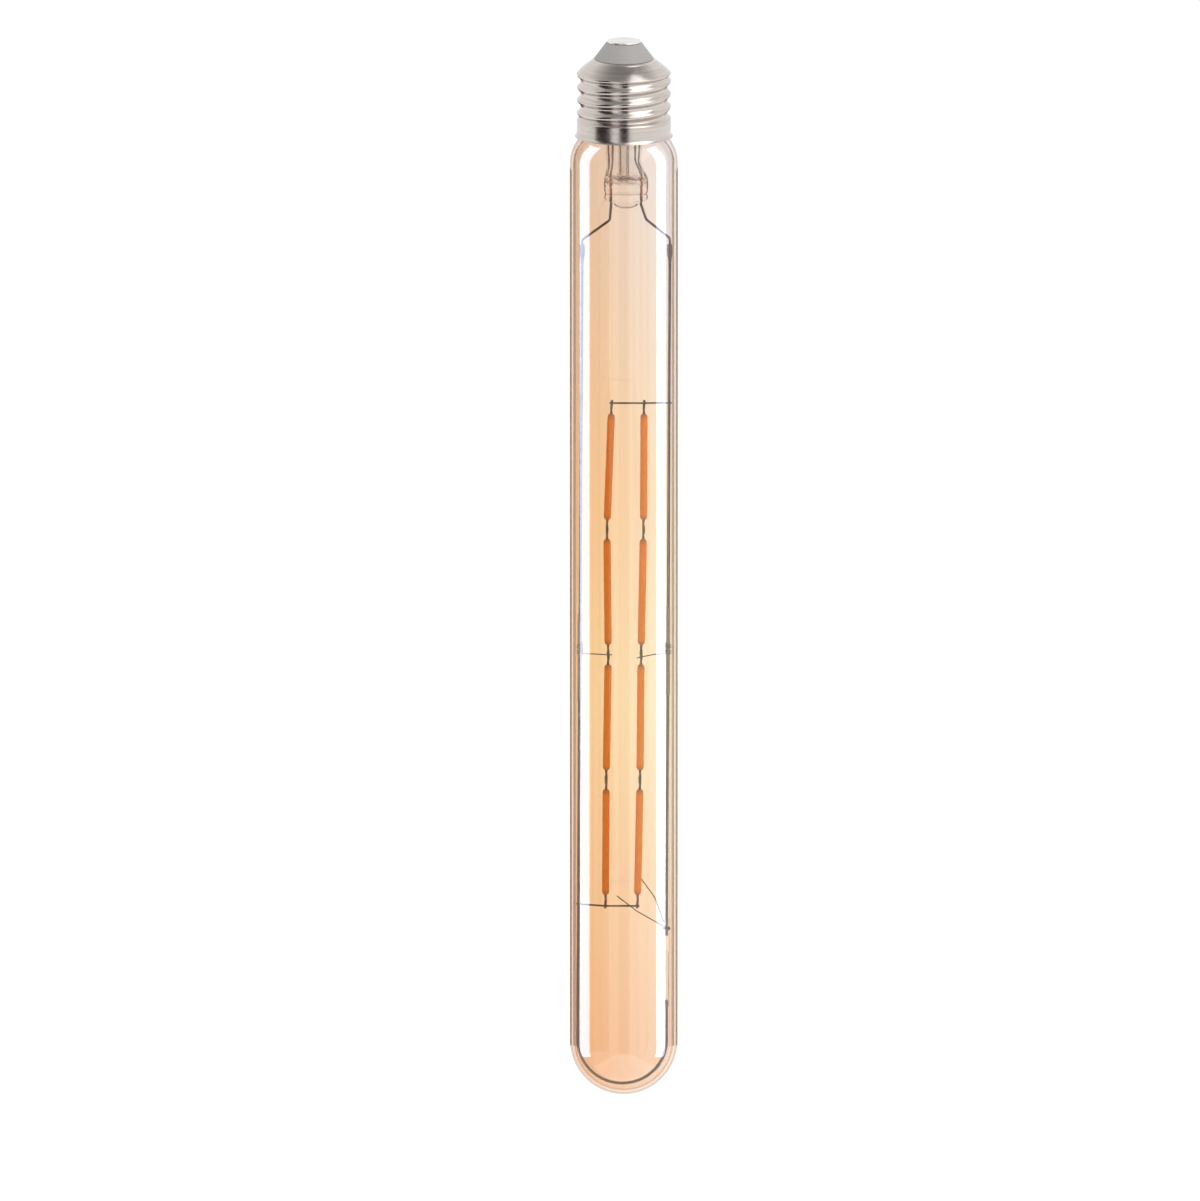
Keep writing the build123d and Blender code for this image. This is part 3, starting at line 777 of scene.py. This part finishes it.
# Stations outwards from the end inside the coat: distance, half width, half thickness
LEAD_STATIONS = np.array([
    (0.0, 0.36, 0.10),
    (1.7, 0.38, 0.10),
    (2.1, 0.36, 0.11),
    (2.5, 0.29, 0.12),
    (2.8, 0.29, 0.12),
    (3.2, 0.37, 0.11),
    (3.8, 0.33, 0.12),
    (4.3, 0.38, 0.15),
    (4.7, 0.42, 0.20),
    (5.05, 0.40, 0.17),
    (5.3, 0.34, 0.12),
    (5.5, 0.26, 0.08),
]) * MM


def leads(side, number):
    """Two flat strips, each a rounded box carried out of the coat along the filament's own line."""
    low, high = ends_of(f"filament_{side}_{number}_coat")
    skins = []
    for end, way in ((high, unit(high - low)), (low, unit(low - high))):
        distance = np.linspace(0, LEAD_STATIONS[-1, 0], 40)
        half_width = np.interp(distance, LEAD_STATIONS[:, 0], LEAD_STATIONS[:, 1])
        half_depth = np.interp(distance, LEAD_STATIONS[:, 0], LEAD_STATIONS[:, 2])
        outside = eased(distance, LEAD_INSIDE, 2 * LEAD_INSIDE)
        sway = LEAD_SWAY * np.sin(distance / MM * 1.4 + number) * outside
        path = end + way * (distance - LEAD_INSIDE)[:, None] + np.outer(sway, (1, 0, 0))
        skins.append(weave(ovals_along(path, half_width, half_depth, (0, 1, 0), 20, 3.0), path[0], path[-1]))
    return mesh_of(f"leads_{side}_{number}", *skins)


for side in ("left", "right"):
    for number in range(1, 5):
        place(leads(side, number), "filament_lead", f"filament_{side}_{number}_leads")

# %% [markdown]
# ## Finishes
#
# Each finish is a short chain of nodes that ends in one shader. Values that are the same all over are
# set on the shader itself, and only what really varies, such as a tint or a fine bump, comes from a
# pattern. The patterns read Object coordinates, so they stay put on the piece.

# %% Start a finish


def finish_named(name, **values):
    """A new material and what is needed to build on it: its tree and its shader."""
    material = bpy.data.materials.new(name)
    material.use_nodes = True
    shader = material.node_tree.nodes["Principled BSDF"]
    for socket, value in values.items():
        shader.inputs[socket.replace("_", " ")].default_value = value
    return material, material.node_tree, shader


def add(tree, kind, inputs=(), **settings):
    """A node of one kind with its settings, and what feeds or fills its inputs."""
    node = tree.nodes.new(kind)
    for setting, value in settings.items():
        setattr(node, setting, value)
    for socket, value in dict(inputs).items():
        if isinstance(value, bpy.types.NodeSocket):
            tree.links.new(value, node.inputs[socket])
        else:
            node.inputs[socket].default_value = value
    return node


def coordinates(tree, kind="Object"):
    """X, Y and Z of each point, one by one."""
    source = add(tree, "ShaderNodeTexCoord")
    return add(tree, "ShaderNodeSeparateXYZ", {"Vector": source.outputs[kind]}).outputs


def joined(tree, first, second, operation):
    """Two values joined by one operation, such as MULTIPLY."""
    return add(tree, "ShaderNodeMath", {0: first, 1: second}, operation=operation).outputs["Value"]


def noise(tree, stretch, detail=3.0, roughness=0.55):
    """Noise on Object coordinates. The stretch is how many swings it makes in a metre each way."""
    source = add(tree, "ShaderNodeTexCoord")
    point = add(tree, "ShaderNodeMapping", {"Vector": source.outputs["Object"], "Scale": stretch})
    wave = add(tree, "ShaderNodeTexNoise", {
        "Vector": point.outputs["Vector"], "Scale": 1.0, "Detail": detail, "Roughness": roughness})
    return wave.outputs["Fac"]


def spread(tree, value, low, high, out_low, out_high):
    """Carries a range of values over to another range."""
    node = add(tree, "ShaderNodeMapRange", {
        "Value": value, "From Min": low, "From Max": high, "To Min": out_low, "To Max": out_high})
    return node.outputs["Result"]


def blended(tree, factor, first, second, kind="MIX"):
    """A colour between two others, or with MULTIPLY their product."""
    ends = [c if isinstance(c, bpy.types.NodeSocket) else (*c, 1) for c in (first, second)]
    node = add(tree, "ShaderNodeMix", {"Factor": factor, "A": ends[0], "B": ends[1]},
               data_type="RGBA", blend_type=kind)
    return node.outputs["Result"]


def bump(tree, shader, height, depth):
    """Feeds a height to the shader's normal. The depth is the real depth of the marks."""
    node = add(tree, "ShaderNodeBump", {"Height": height, "Distance": depth})
    tree.links.new(node.outputs["Normal"], shader.inputs["Normal"])


def see_through_shadow(tree, shader, tint):
    """Lets lamps shine through glass: a shadow ray meets a tinted clear surface in place of the glass."""
    output = next(n for n in tree.nodes if n.type == "OUTPUT_MATERIAL")
    light_path = add(tree, "ShaderNodeLightPath")
    clear = add(tree, "ShaderNodeBsdfTransparent", {"Color": (*tint, 1)})
    mix = add(tree, "ShaderNodeMixShader", {"Fac": light_path.outputs["Is Shadow Ray"]})
    tree.links.new(shader.outputs["BSDF"], mix.inputs[1])
    tree.links.new(clear.outputs["BSDF"], mix.inputs[2])
    tree.links.new(mix.outputs["Shader"], output.inputs["Surface"])


# %% [markdown]
# The plated shell is warm and satin. Rolling leaves fine lines round it, so one noise is squeezed in
# height: long marks round the cap, short ones up it. A slower noise clouds its gloss.

# %% Nickel plate


def nickel_plate():
    material, tree, shader = finish_named("nickel_plate", Metallic=1.0)
    marks = noise(tree, (40, 40, 3200), 4.0)
    clouds = noise(tree, (260, 260, 260), 4.0)
    colour = blended(tree, spread(tree, marks, 0.35, 0.65, 0, 1), (0.56, 0.50, 0.46), (0.66, 0.61, 0.57))
    tree.links.new(colour, shader.inputs["Base Color"])
    tree.links.new(spread(tree, clouds, 0.3, 0.7, 0.14, 0.30), shader.inputs["Roughness"])
    bump(tree, shader, marks, 0.004 * MM)
    return material


# %% Moulded insulator and contact metal


def moulded_insulator():
    material, tree, shader = finish_named("moulded_insulator", Roughness=0.52)
    grain = noise(tree, (900, 900, 900), 5.0, 0.65)
    colour = blended(tree, grain, (0.39, 0.375, 0.36), (0.47, 0.455, 0.44))
    tree.links.new(colour, shader.inputs["Base Color"])
    bump(tree, shader, grain, 0.012 * MM)
    return material


def contact_metal():
    material, tree, shader = finish_named("contact_metal", Metallic=1.0, Roughness=0.34)
    wear = noise(tree, (1100, 1100, 1100), 6.0)
    tree.links.new(blended(tree, wear, (0.78, 0.76, 0.74), (0.95, 0.94, 0.92)), shader.inputs["Base Color"])
    bump(tree, shader, wear, 0.012 * MM)
    return material


# %% [markdown]
# The tube's glass carries a see-through amber tint. A ramp follows the height: the tint is thinner at
# the shoulder and deepest at the dome, and the ramp also holds painted shade for how the light falls
# along the tube. A second blend across the width is painted shade, darker on the left. Drawn tubing
# also has faint lines along it: a noise stretched in height varies the tint a little and ripples the
# reflections. Seen edge on, light has a long way to go through the wall, so the tint deepens there.

# %% Amber glass
TINT_TOP_Z = -30 * MM
TINT_LOW_Z = -285 * MM
SIDE_SHADE_REACH = 12 * MM
RIM_START = 0.66
RIM_FULL = 0.74
RIM_TINT = (0.42, 0.22, 0.12)
# Painted shade: the tint is darker on the left side of the tube and fades to none on the right
LEFT_PAINTED_SHADE = (0.96, 0.81, 0.66)
STREAK_TINT = (0.98, 0.955, 0.93)
SHADOW_TINT = (0.96, 0.84, 0.68)
# How far down the tube, and the tint there with its painted shade
TINTS_AND_SHADE = (
    (0.0, (0.93, 0.90, 0.90)),
    (0.38, (0.995, 0.895, 0.755)),
    (0.62, (1.0, 0.945, 0.79)),
    (1.0, (0.96, 0.81, 0.69)),
)


def amber_glass():
    material, tree, shader = finish_named("amber_glass", Roughness=0.0, IOR=1.5, Transmission_Weight=1.0)
    where = coordinates(tree)
    down = spread(tree, where["Z"], TINT_TOP_Z, TINT_LOW_Z, 0, 1)
    ramp = add(tree, "ShaderNodeValToRGB", {"Fac": down})
    while len(ramp.color_ramp.elements) < len(TINTS_AND_SHADE):
        ramp.color_ramp.elements.new(0.5)
    for element, (position, tint) in zip(ramp.color_ramp.elements, TINTS_AND_SHADE):
        element.position, element.color = position, (*tint, 1)
    # Painted shade across the width, darker towards the left
    across = spread(tree, where["X"], -SIDE_SHADE_REACH, SIDE_SHADE_REACH, 0, 1)
    side = blended(tree, across, LEFT_PAINTED_SHADE, (1, 1, 1))
    lines = noise(tree, (800, 800, 5), 2.0)
    streak = blended(tree, spread(tree, lines, 0.3, 0.7, 0, 1), STREAK_TINT, (1, 1, 1))
    side_shaded = blended(tree, 1.0, ramp.outputs["Color"], side, "MULTIPLY")
    tint = blended(tree, 1.0, side_shaded, streak, "MULTIPLY")
    edge_on = add(tree, "ShaderNodeLayerWeight", {"Blend": 0.5}).outputs["Facing"]
    rim = spread(tree, edge_on, RIM_START, RIM_FULL, 0, 1)
    tree.links.new(blended(tree, rim, tint, RIM_TINT), shader.inputs["Base Color"])
    bump(tree, shader, lines, 0.004 * MM)
    see_through_shadow(tree, shader, SHADOW_TINT)
    return material


# %% [markdown]
# The stem and the sleeves are clear glass with a soft ripple. The stem carries painted shade: darker
# patches where the hollow ends, and a dark line in the crease below them. Both are tints held to a band of
# heights.

# %% Clear glass
CLEAR = (0.97, 0.97, 0.96)
# Painted shade where the hollow ends and in the crease below it
HOLLOW_END_SHADE = (0.50, 0.44, 0.38)
CREASE_SHADE = (0.42, 0.30, 0.22)
HOLLOW_END_SHADE_HEIGHTS = (-40.6 * MM, -38.6 * MM, 0.4 * MM)
CREASE_HEIGHTS = (-43.6 * MM, -43.4 * MM, 0.08 * MM)


def clear_finish(name):
    """Clear rippled glass, and what is needed to build on it."""
    material, tree, shader = finish_named(
        name, Base_Color=(*CLEAR, 1), Roughness=0.0, IOR=1.5, Transmission_Weight=1.0)
    bump(tree, shader, noise(tree, (350, 350, 200), 2.0), 0.04 * MM)
    see_through_shadow(tree, shader, (0.95, 0.95, 0.95))
    return material, tree, shader


def band(tree, value, low, high, soft):
    """One between two values and zero outside them, with soft edges."""
    rise = spread(tree, value, low - soft, low + soft, 0, 1)
    fall = spread(tree, value, high - soft, high + soft, 1, 0)
    return joined(tree, rise, fall, "MULTIPLY")


def shaded_pressed_glass():
    """Clear glass with painted shade: darker patches where the hollow ends, and a dark line in the crease
    under them.
    """
    material, tree, shader = clear_finish("shaded_pressed_glass")
    where = coordinates(tree)
    # Painted shade: darker patches where the hollow ends, and a dark line in the crease below
    shade_patches = spread(tree, noise(tree, (420, 420, 900), 4.0, 0.6), 0.44, 0.56, 0, 1)
    pinch = band(tree, where["Z"], *HOLLOW_END_SHADE_HEIGHTS)
    glass = blended(tree, joined(tree, shade_patches, pinch, "MULTIPLY"), CLEAR, HOLLOW_END_SHADE)
    crease = band(tree, where["Z"], *CREASE_HEIGHTS)
    tree.links.new(blended(tree, crease, glass, CREASE_SHADE), shader.inputs["Base Color"])
    return material


# %% [markdown]
# The wires are drawn nickel, dull and dark from the heat of sealing, and no two stretches are quite
# the same colour. The seal wires have a copper skin that shows red in the glass.

# %% Wire metals


def drawn_wire(name, bright, dark, roughness):
    """A metal whose colour wanders between two tones along the wire, as heat leaves it."""
    material, tree, shader = finish_named(name, Metallic=1.0, Roughness=roughness)
    patches = noise(tree, (500, 500, 200), 5.0, 0.6)
    colour = blended(tree, spread(tree, patches, 0.3, 0.7, 0, 1), dark, bright)
    tree.links.new(colour, shader.inputs["Base Color"])
    bump(tree, shader, patches, 0.01 * MM)
    return material


# %% [markdown]
# A filament's coat is silicone full of orange powder. Light goes in and comes out again, so the
# shader scatters a little below the surface. The metal lead shows through both ends as a brown shade,
# which the stored share of the length brings out.

# %% Filament coat
END_SHARE = 0.055
END_SHADE = 0.55
LEAD_BROWN = (0.16, 0.07, 0.03)


def filament_coat(name, colour):
    material, tree, shader = finish_named(
        name, Roughness=0.5, Specular_IOR_Level=0.1,
        Subsurface_Weight=0.3, Subsurface_Scale=0.0006, Subsurface_Radius=(1.0, 0.45, 0.1))
    powder = noise(tree, (1500, 1500, 500), 4.0)
    body = blended(tree, powder, tuple(0.86 * c for c in colour), colour)
    along = add(tree, "ShaderNodeAttribute", attribute_name="along")
    low_end = spread(tree, along.outputs["Fac"], 0, END_SHARE, END_SHADE, 0)
    high_end = spread(tree, along.outputs["Fac"], 1 - END_SHARE, 1, 0, END_SHADE)
    shaded = blended(tree, joined(tree, low_end, high_end, "ADD"), body, LEAD_BROWN)
    tree.links.new(shaded, shader.inputs["Base Color"])
    bump(tree, shader, powder, 0.02 * MM)
    return material


# %% Plain finishes


def flecked(name, light, dark, roughness, metallic=0.0):
    """A body colour broken up by fine flecks, for what the cap hides and for the filaments' strips."""
    material, tree, shader = finish_named(name, Roughness=roughness, Metallic=metallic)
    flecks = noise(tree, (800, 800, 800), 4.0)
    tree.links.new(blended(tree, flecks, dark, light), shader.inputs["Base Color"])
    bump(tree, shader, flecks, 0.01 * MM)
    return material


# %% [markdown]
# With the finishes named after the record's slots, one loop can dress every node of the frame, and
# the pieces made above take theirs by the same names. Only the stem is different: it shares its slot
# with the exhaust tube, but it alone carries painted shade where the hollow ends and in its crease.

# %% Dress every piece
finishes = {
    "nickel_shell": nickel_plate(),
    "pale_insulator": moulded_insulator(),
    "contact_metal": contact_metal(),
    "cement": flecked("baked_cement", (0.62, 0.56, 0.45), (0.50, 0.44, 0.34), 0.9),
    "board": flecked("board_lacquer", (0.02, 0.13, 0.05), (0.01, 0.08, 0.03), 0.35),
    "black_package": flecked("black_moulding", (0.03, 0.03, 0.03), (0.015, 0.015, 0.015), 0.45),
    "resistor_body": flecked("resistor_paint", (0.20, 0.42, 0.26), (0.14, 0.32, 0.20), 0.4),
    "capacitor_can": flecked("capacitor_can", (0.62, 0.62, 0.64), (0.5, 0.5, 0.52), 0.3, 1.0),
    "copper_wire": drawn_wire("bare_copper", (0.34, 0.22, 0.15), (0.18, 0.11, 0.07), 0.35),
    "amber_glass": amber_glass(),
    "stem_glass": clear_finish("clear_glass")[0],
    "seal_copper": drawn_wire("seal_copper", (0.66, 0.24, 0.11), (0.40, 0.12, 0.06), 0.35),
    "nickel_wire": drawn_wire("nickel_wire", (0.14, 0.11, 0.085), (0.055, 0.042, 0.033), 0.35),
    "tie_wire": drawn_wire("tie_wire", (0.15, 0.12, 0.10), (0.06, 0.05, 0.045), 0.35),
    # Painted shade: the left chain's coat is a darker copy of the right chain's orange
    "phosphor_coat_left": filament_coat("phosphor_coat_left", (0.72, 0.24, 0.003)),
    "phosphor_coat_right": filament_coat("phosphor_coat_right", (0.80, 0.275, 0.002)),
    "filament_strip": flecked("strip_ceramic", (0.75, 0.70, 0.60), (0.65, 0.60, 0.50), 0.5),
    "filament_lead": drawn_wire("filament_lead", (0.26, 0.21, 0.17), (0.05, 0.04, 0.033), 0.38),
}
finishes["sleeve_glass"] = finishes["stem_glass"]
slot_of = {row["node"]: row["material_slot"] for row in frame["record"]["subparts"]}
dressed = [(frame["nodes"][node], slot) for node, slot in slot_of.items()]
dressed += [(bpy.data.objects[name], slot) for name, slot in piece_slot.items()]
for item, slot_name in dressed:
    item.data.materials.clear()
    item.data.materials.append(finishes[slot_name])
# The stem alone gets painted shade where its hollow ends and in its crease
stem_piece.data.materials[0] = shaded_pressed_glass()
print("finishes:", len(finishes), "on", len(dressed), "pieces")

# %% [markdown]
# ## Stage, lamps and camera
#
# Glass and plated metal show their surroundings more than themselves, so the stage is laid out like a
# product studio: white behind and below, a tall white panel at each side of the tube, and dark cards
# between them and the camera. The panels draw the two white bands down the tube, and the dark cards
# draw the deeper stripes between and beside them. Brown cards behind draw the thin line at each edge,
# and two dark ones beside those show only through the glass.

# %% Floor and room
FLOOR_GAP = 110 * MM
FLOOR_HALF = 6.0
FLOOR_LIFT = 0.38
SEEN_WHITE = 1.0
ROOM_LIGHT = 0.75
CEILING_START = 0.62
CEILING_FULL = 0.98
CEILING_SHADE = 0.75
floor_z = cad_low.z - FLOOR_GAP


def seen_rays(tree):
    """One where the ray comes from the camera, a reflection or a refraction, and zero elsewhere."""
    path = add(tree, "ShaderNodeLightPath")
    seen = joined(tree, path.outputs["Is Camera Ray"], path.outputs["Is Transmission Ray"], "MAXIMUM")
    return path, joined(tree, seen, path.outputs["Is Glossy Ray"], "MAXIMUM")


def stage_mesh(name, points, faces):
    """A plain surface that belongs to the stage."""
    mesh = bpy.data.meshes.new(name)
    mesh.from_pydata(points, [], faces)
    item = bpy.data.objects.new(name, mesh)
    bpy.context.scene.collection.objects.link(item)
    return item


def floor():
    half = FLOOR_HALF
    corners = [(-half, -half, floor_z), (half, -half, floor_z), (half, half, floor_z), (-half, half, floor_z)]
    item = stage_mesh("floor", corners, [(0, 1, 2, 3)])
    material, tree, shader = finish_named("floor_paper", Base_Color=(0.85, 0.85, 0.85, 1), Roughness=0.9)
    lift = joined(tree, seen_rays(tree)[1], FLOOR_LIFT, "MULTIPLY")
    glow = add(tree, "ShaderNodeEmission", {"Color": (1, 1, 1, 1), "Strength": lift})
    both = add(tree, "ShaderNodeAddShader", {0: shader.outputs["BSDF"], 1: glow.outputs["Emission"]})
    output = next(n for n in tree.nodes if n.type == "OUTPUT_MATERIAL")
    tree.links.new(both.outputs["Shader"], output.inputs["Surface"])
    item.data.materials.append(material)


def room():
    """A white room. Reflections find its ceiling darker overhead, as above a real bench."""
    world = bpy.data.worlds.new("room")
    world.use_nodes = True
    tree = world.node_tree
    background = tree.nodes["Background"]
    background.inputs["Color"].default_value = (1, 1, 1, 1)
    path, seen = seen_rays(tree)
    height = coordinates(tree, "Generated")["Z"]
    ceiling = spread(tree, height, CEILING_START, CEILING_FULL, 0, CEILING_SHADE)
    shade = joined(tree, ceiling, path.outputs["Is Glossy Ray"], "MULTIPLY")
    plain = spread(tree, seen, 0, 1, ROOM_LIGHT, SEEN_WHITE)
    tree.links.new(joined(tree, plain, shade, "SUBTRACT"), background.inputs["Strength"])
    bpy.context.scene.world = world


floor()
room()

# %% [markdown]
# A panel's place comes from the law of mirrors. Where the tube's surface has turned by some angle
# from the camera, it shows what stands at twice that angle. The bands were wanted between sines of
# about 0.6 and 0.8, so the panels reach from 70 to 80 degrees at one end to about 100 at the other.
# A panel lying in front of the bulb brightens the lower part of the dome, which looks down at it.

# %% Panels for the glass and a lamp for the rest
PANEL_DISTANCE = 0.25
PANEL_TOP_Z = 0.25
PANEL_LOW_Z = -0.40
PANEL_RADIANCE = 12.0
PANEL_COLOUR = (0.52, 0.69, 1.0)
FLOOR_PANEL_AT = (0, -0.2, floor_z + TOUCH)
FLOOR_PANEL_SIZE = (0.3, 0.36)
FLOOR_PANEL_RADIANCE = 1.3
OVERHEAD_AT = (0.5, -0.4, 0.75)
OVERHEAD_TURN = (math.radians(26), math.radians(30), 0)
OVERHEAD_SIZE = (0.8, 0.8)
OVERHEAD_RADIANCE = 1.5


def area_lamp(name, place_at, turned_to, width, height, radiance, colour=(1, 1, 1)):
    """An area lamp. Its power is its radiance times pi times its area."""
    lamp = bpy.data.lights.new(name, "AREA")
    lamp.color = colour
    lamp.shape = "RECTANGLE"
    lamp.size, lamp.size_y = width, height
    lamp.energy = radiance * math.pi * width * height
    item = bpy.data.objects.new(name, lamp)
    item.location, item.rotation_euler = place_at, turned_to
    item.visible_camera = False
    item.visible_transmission = False
    bpy.context.scene.collection.objects.link(item)
    return item


def panel(name, near_angle, far_angle, side):
    """A white panel beside the tube, which only the tube's glass shows."""
    near_y = -PANEL_DISTANCE / math.tan(math.radians(near_angle))
    far_y = -PANEL_DISTANCE / math.tan(math.radians(far_angle))
    at = (side * PANEL_DISTANCE, (near_y + far_y) / 2, (PANEL_TOP_Z + PANEL_LOW_Z) / 2)
    turned_to = (math.pi / 2, 0, side * math.pi / 2)
    width, height = far_y - near_y, PANEL_TOP_Z - PANEL_LOW_Z
    item = area_lamp(name, at, turned_to, width, height, PANEL_RADIANCE, PANEL_COLOUR)
    item.light_linking.receiver_collection = glass_only


glass_only = bpy.data.collections.new("glass_only")
glass_only.objects.link(glass_piece)
panel("panel_left", 77, 106, -1)
panel("panel_right", 72, 99, 1)
low_panel = area_lamp(
    "panel_below", FLOOR_PANEL_AT, (math.pi, 0, 0), *FLOOR_PANEL_SIZE, FLOOR_PANEL_RADIANCE)
low_panel.light_linking.receiver_collection = glass_only
area_lamp("overhead", OVERHEAD_AT, OVERHEAD_TURN, *OVERHEAD_SIZE, OVERHEAD_RADIANCE)

# %% Dark cards
CARD_DISTANCE = 0.5
CARD_TOP_Z = 0.7
# A wall shows what stands lower, as the camera looks down: below this height the tube, above it the cap
EDGE_CARD_TOP_Z = -0.14
DARK_FELT = (0.03, 0.014, 0.012)
EDGE_FELT_LEFT = (0.22, 0.12, 0.07)
EDGE_FELT_RIGHT = (0.32, 0.21, 0.14)


def card(name, low_angle, high_angle, seen_by, top_z=CARD_TOP_Z, colour=DARK_FELT):
    """A card bent round the tube between two angles from the camera, seen by one kind of ray only."""
    turn = np.radians(np.linspace(low_angle, high_angle, 13))
    x, y = CARD_DISTANCE * np.sin(turn), -CARD_DISTANCE * np.cos(turn)
    points = [(a, b, z) for z in (floor_z, top_z) for a, b in zip(x, y)]
    count = len(turn)
    item = stage_mesh(name, points, [(i, i + 1, i + 1 + count, i + count) for i in range(count - 1)])
    for kind in ("camera", "diffuse", "glossy", "transmission", "volume_scatter", "shadow"):
        setattr(item, f"visible_{kind}", kind == seen_by)
    material, _, _ = finish_named(f"{name}_felt", Base_Color=(*colour, 1), Roughness=1.0)
    item.data.materials.append(material)


card("card_left_front", -73, -31, "glossy")
card("card_front", -11, 12, "glossy")
card("card_edge_left", -178, -148, "glossy", EDGE_CARD_TOP_Z, EDGE_FELT_LEFT)
card("card_edge_right", 148, 178, "glossy", EDGE_CARD_TOP_Z, EDGE_FELT_RIGHT)
card("flag_left", -144, -118, "transmission")
card("flag_right", 118, 144, "transmission")

# %% [markdown]
# The camera stands well back with a long lens and looks slightly down, so that the top of the contact
# shows as a thin ellipse. The lens is the sensor's width times the distance, over the width to be seen.

# %% Camera
ELEVATION = math.radians(12.5)
CAMERA_DISTANCE = 10.0
WIDTH_SEEN = 0.3343
AIM = np.array([-6.63, 0, -159.2]) * MM

camera_data = bpy.data.cameras.new("camera")
camera = bpy.data.objects.new("camera", camera_data)
bpy.context.scene.collection.objects.link(camera)
camera.location = AIM + CAMERA_DISTANCE * np.array([0, -math.cos(ELEVATION), math.sin(ELEVATION)])
camera.rotation_euler = (math.pi / 2 - ELEVATION, 0, 0)
camera_data.lens = camera_data.sensor_width * CAMERA_DISTANCE / WIDTH_SEEN
camera_data.clip_end = 50
bpy.context.scene.camera = camera
bpy.context.scene.view_settings.view_transform = "Standard"
print("lens, mm:", round(camera_data.lens, 1))
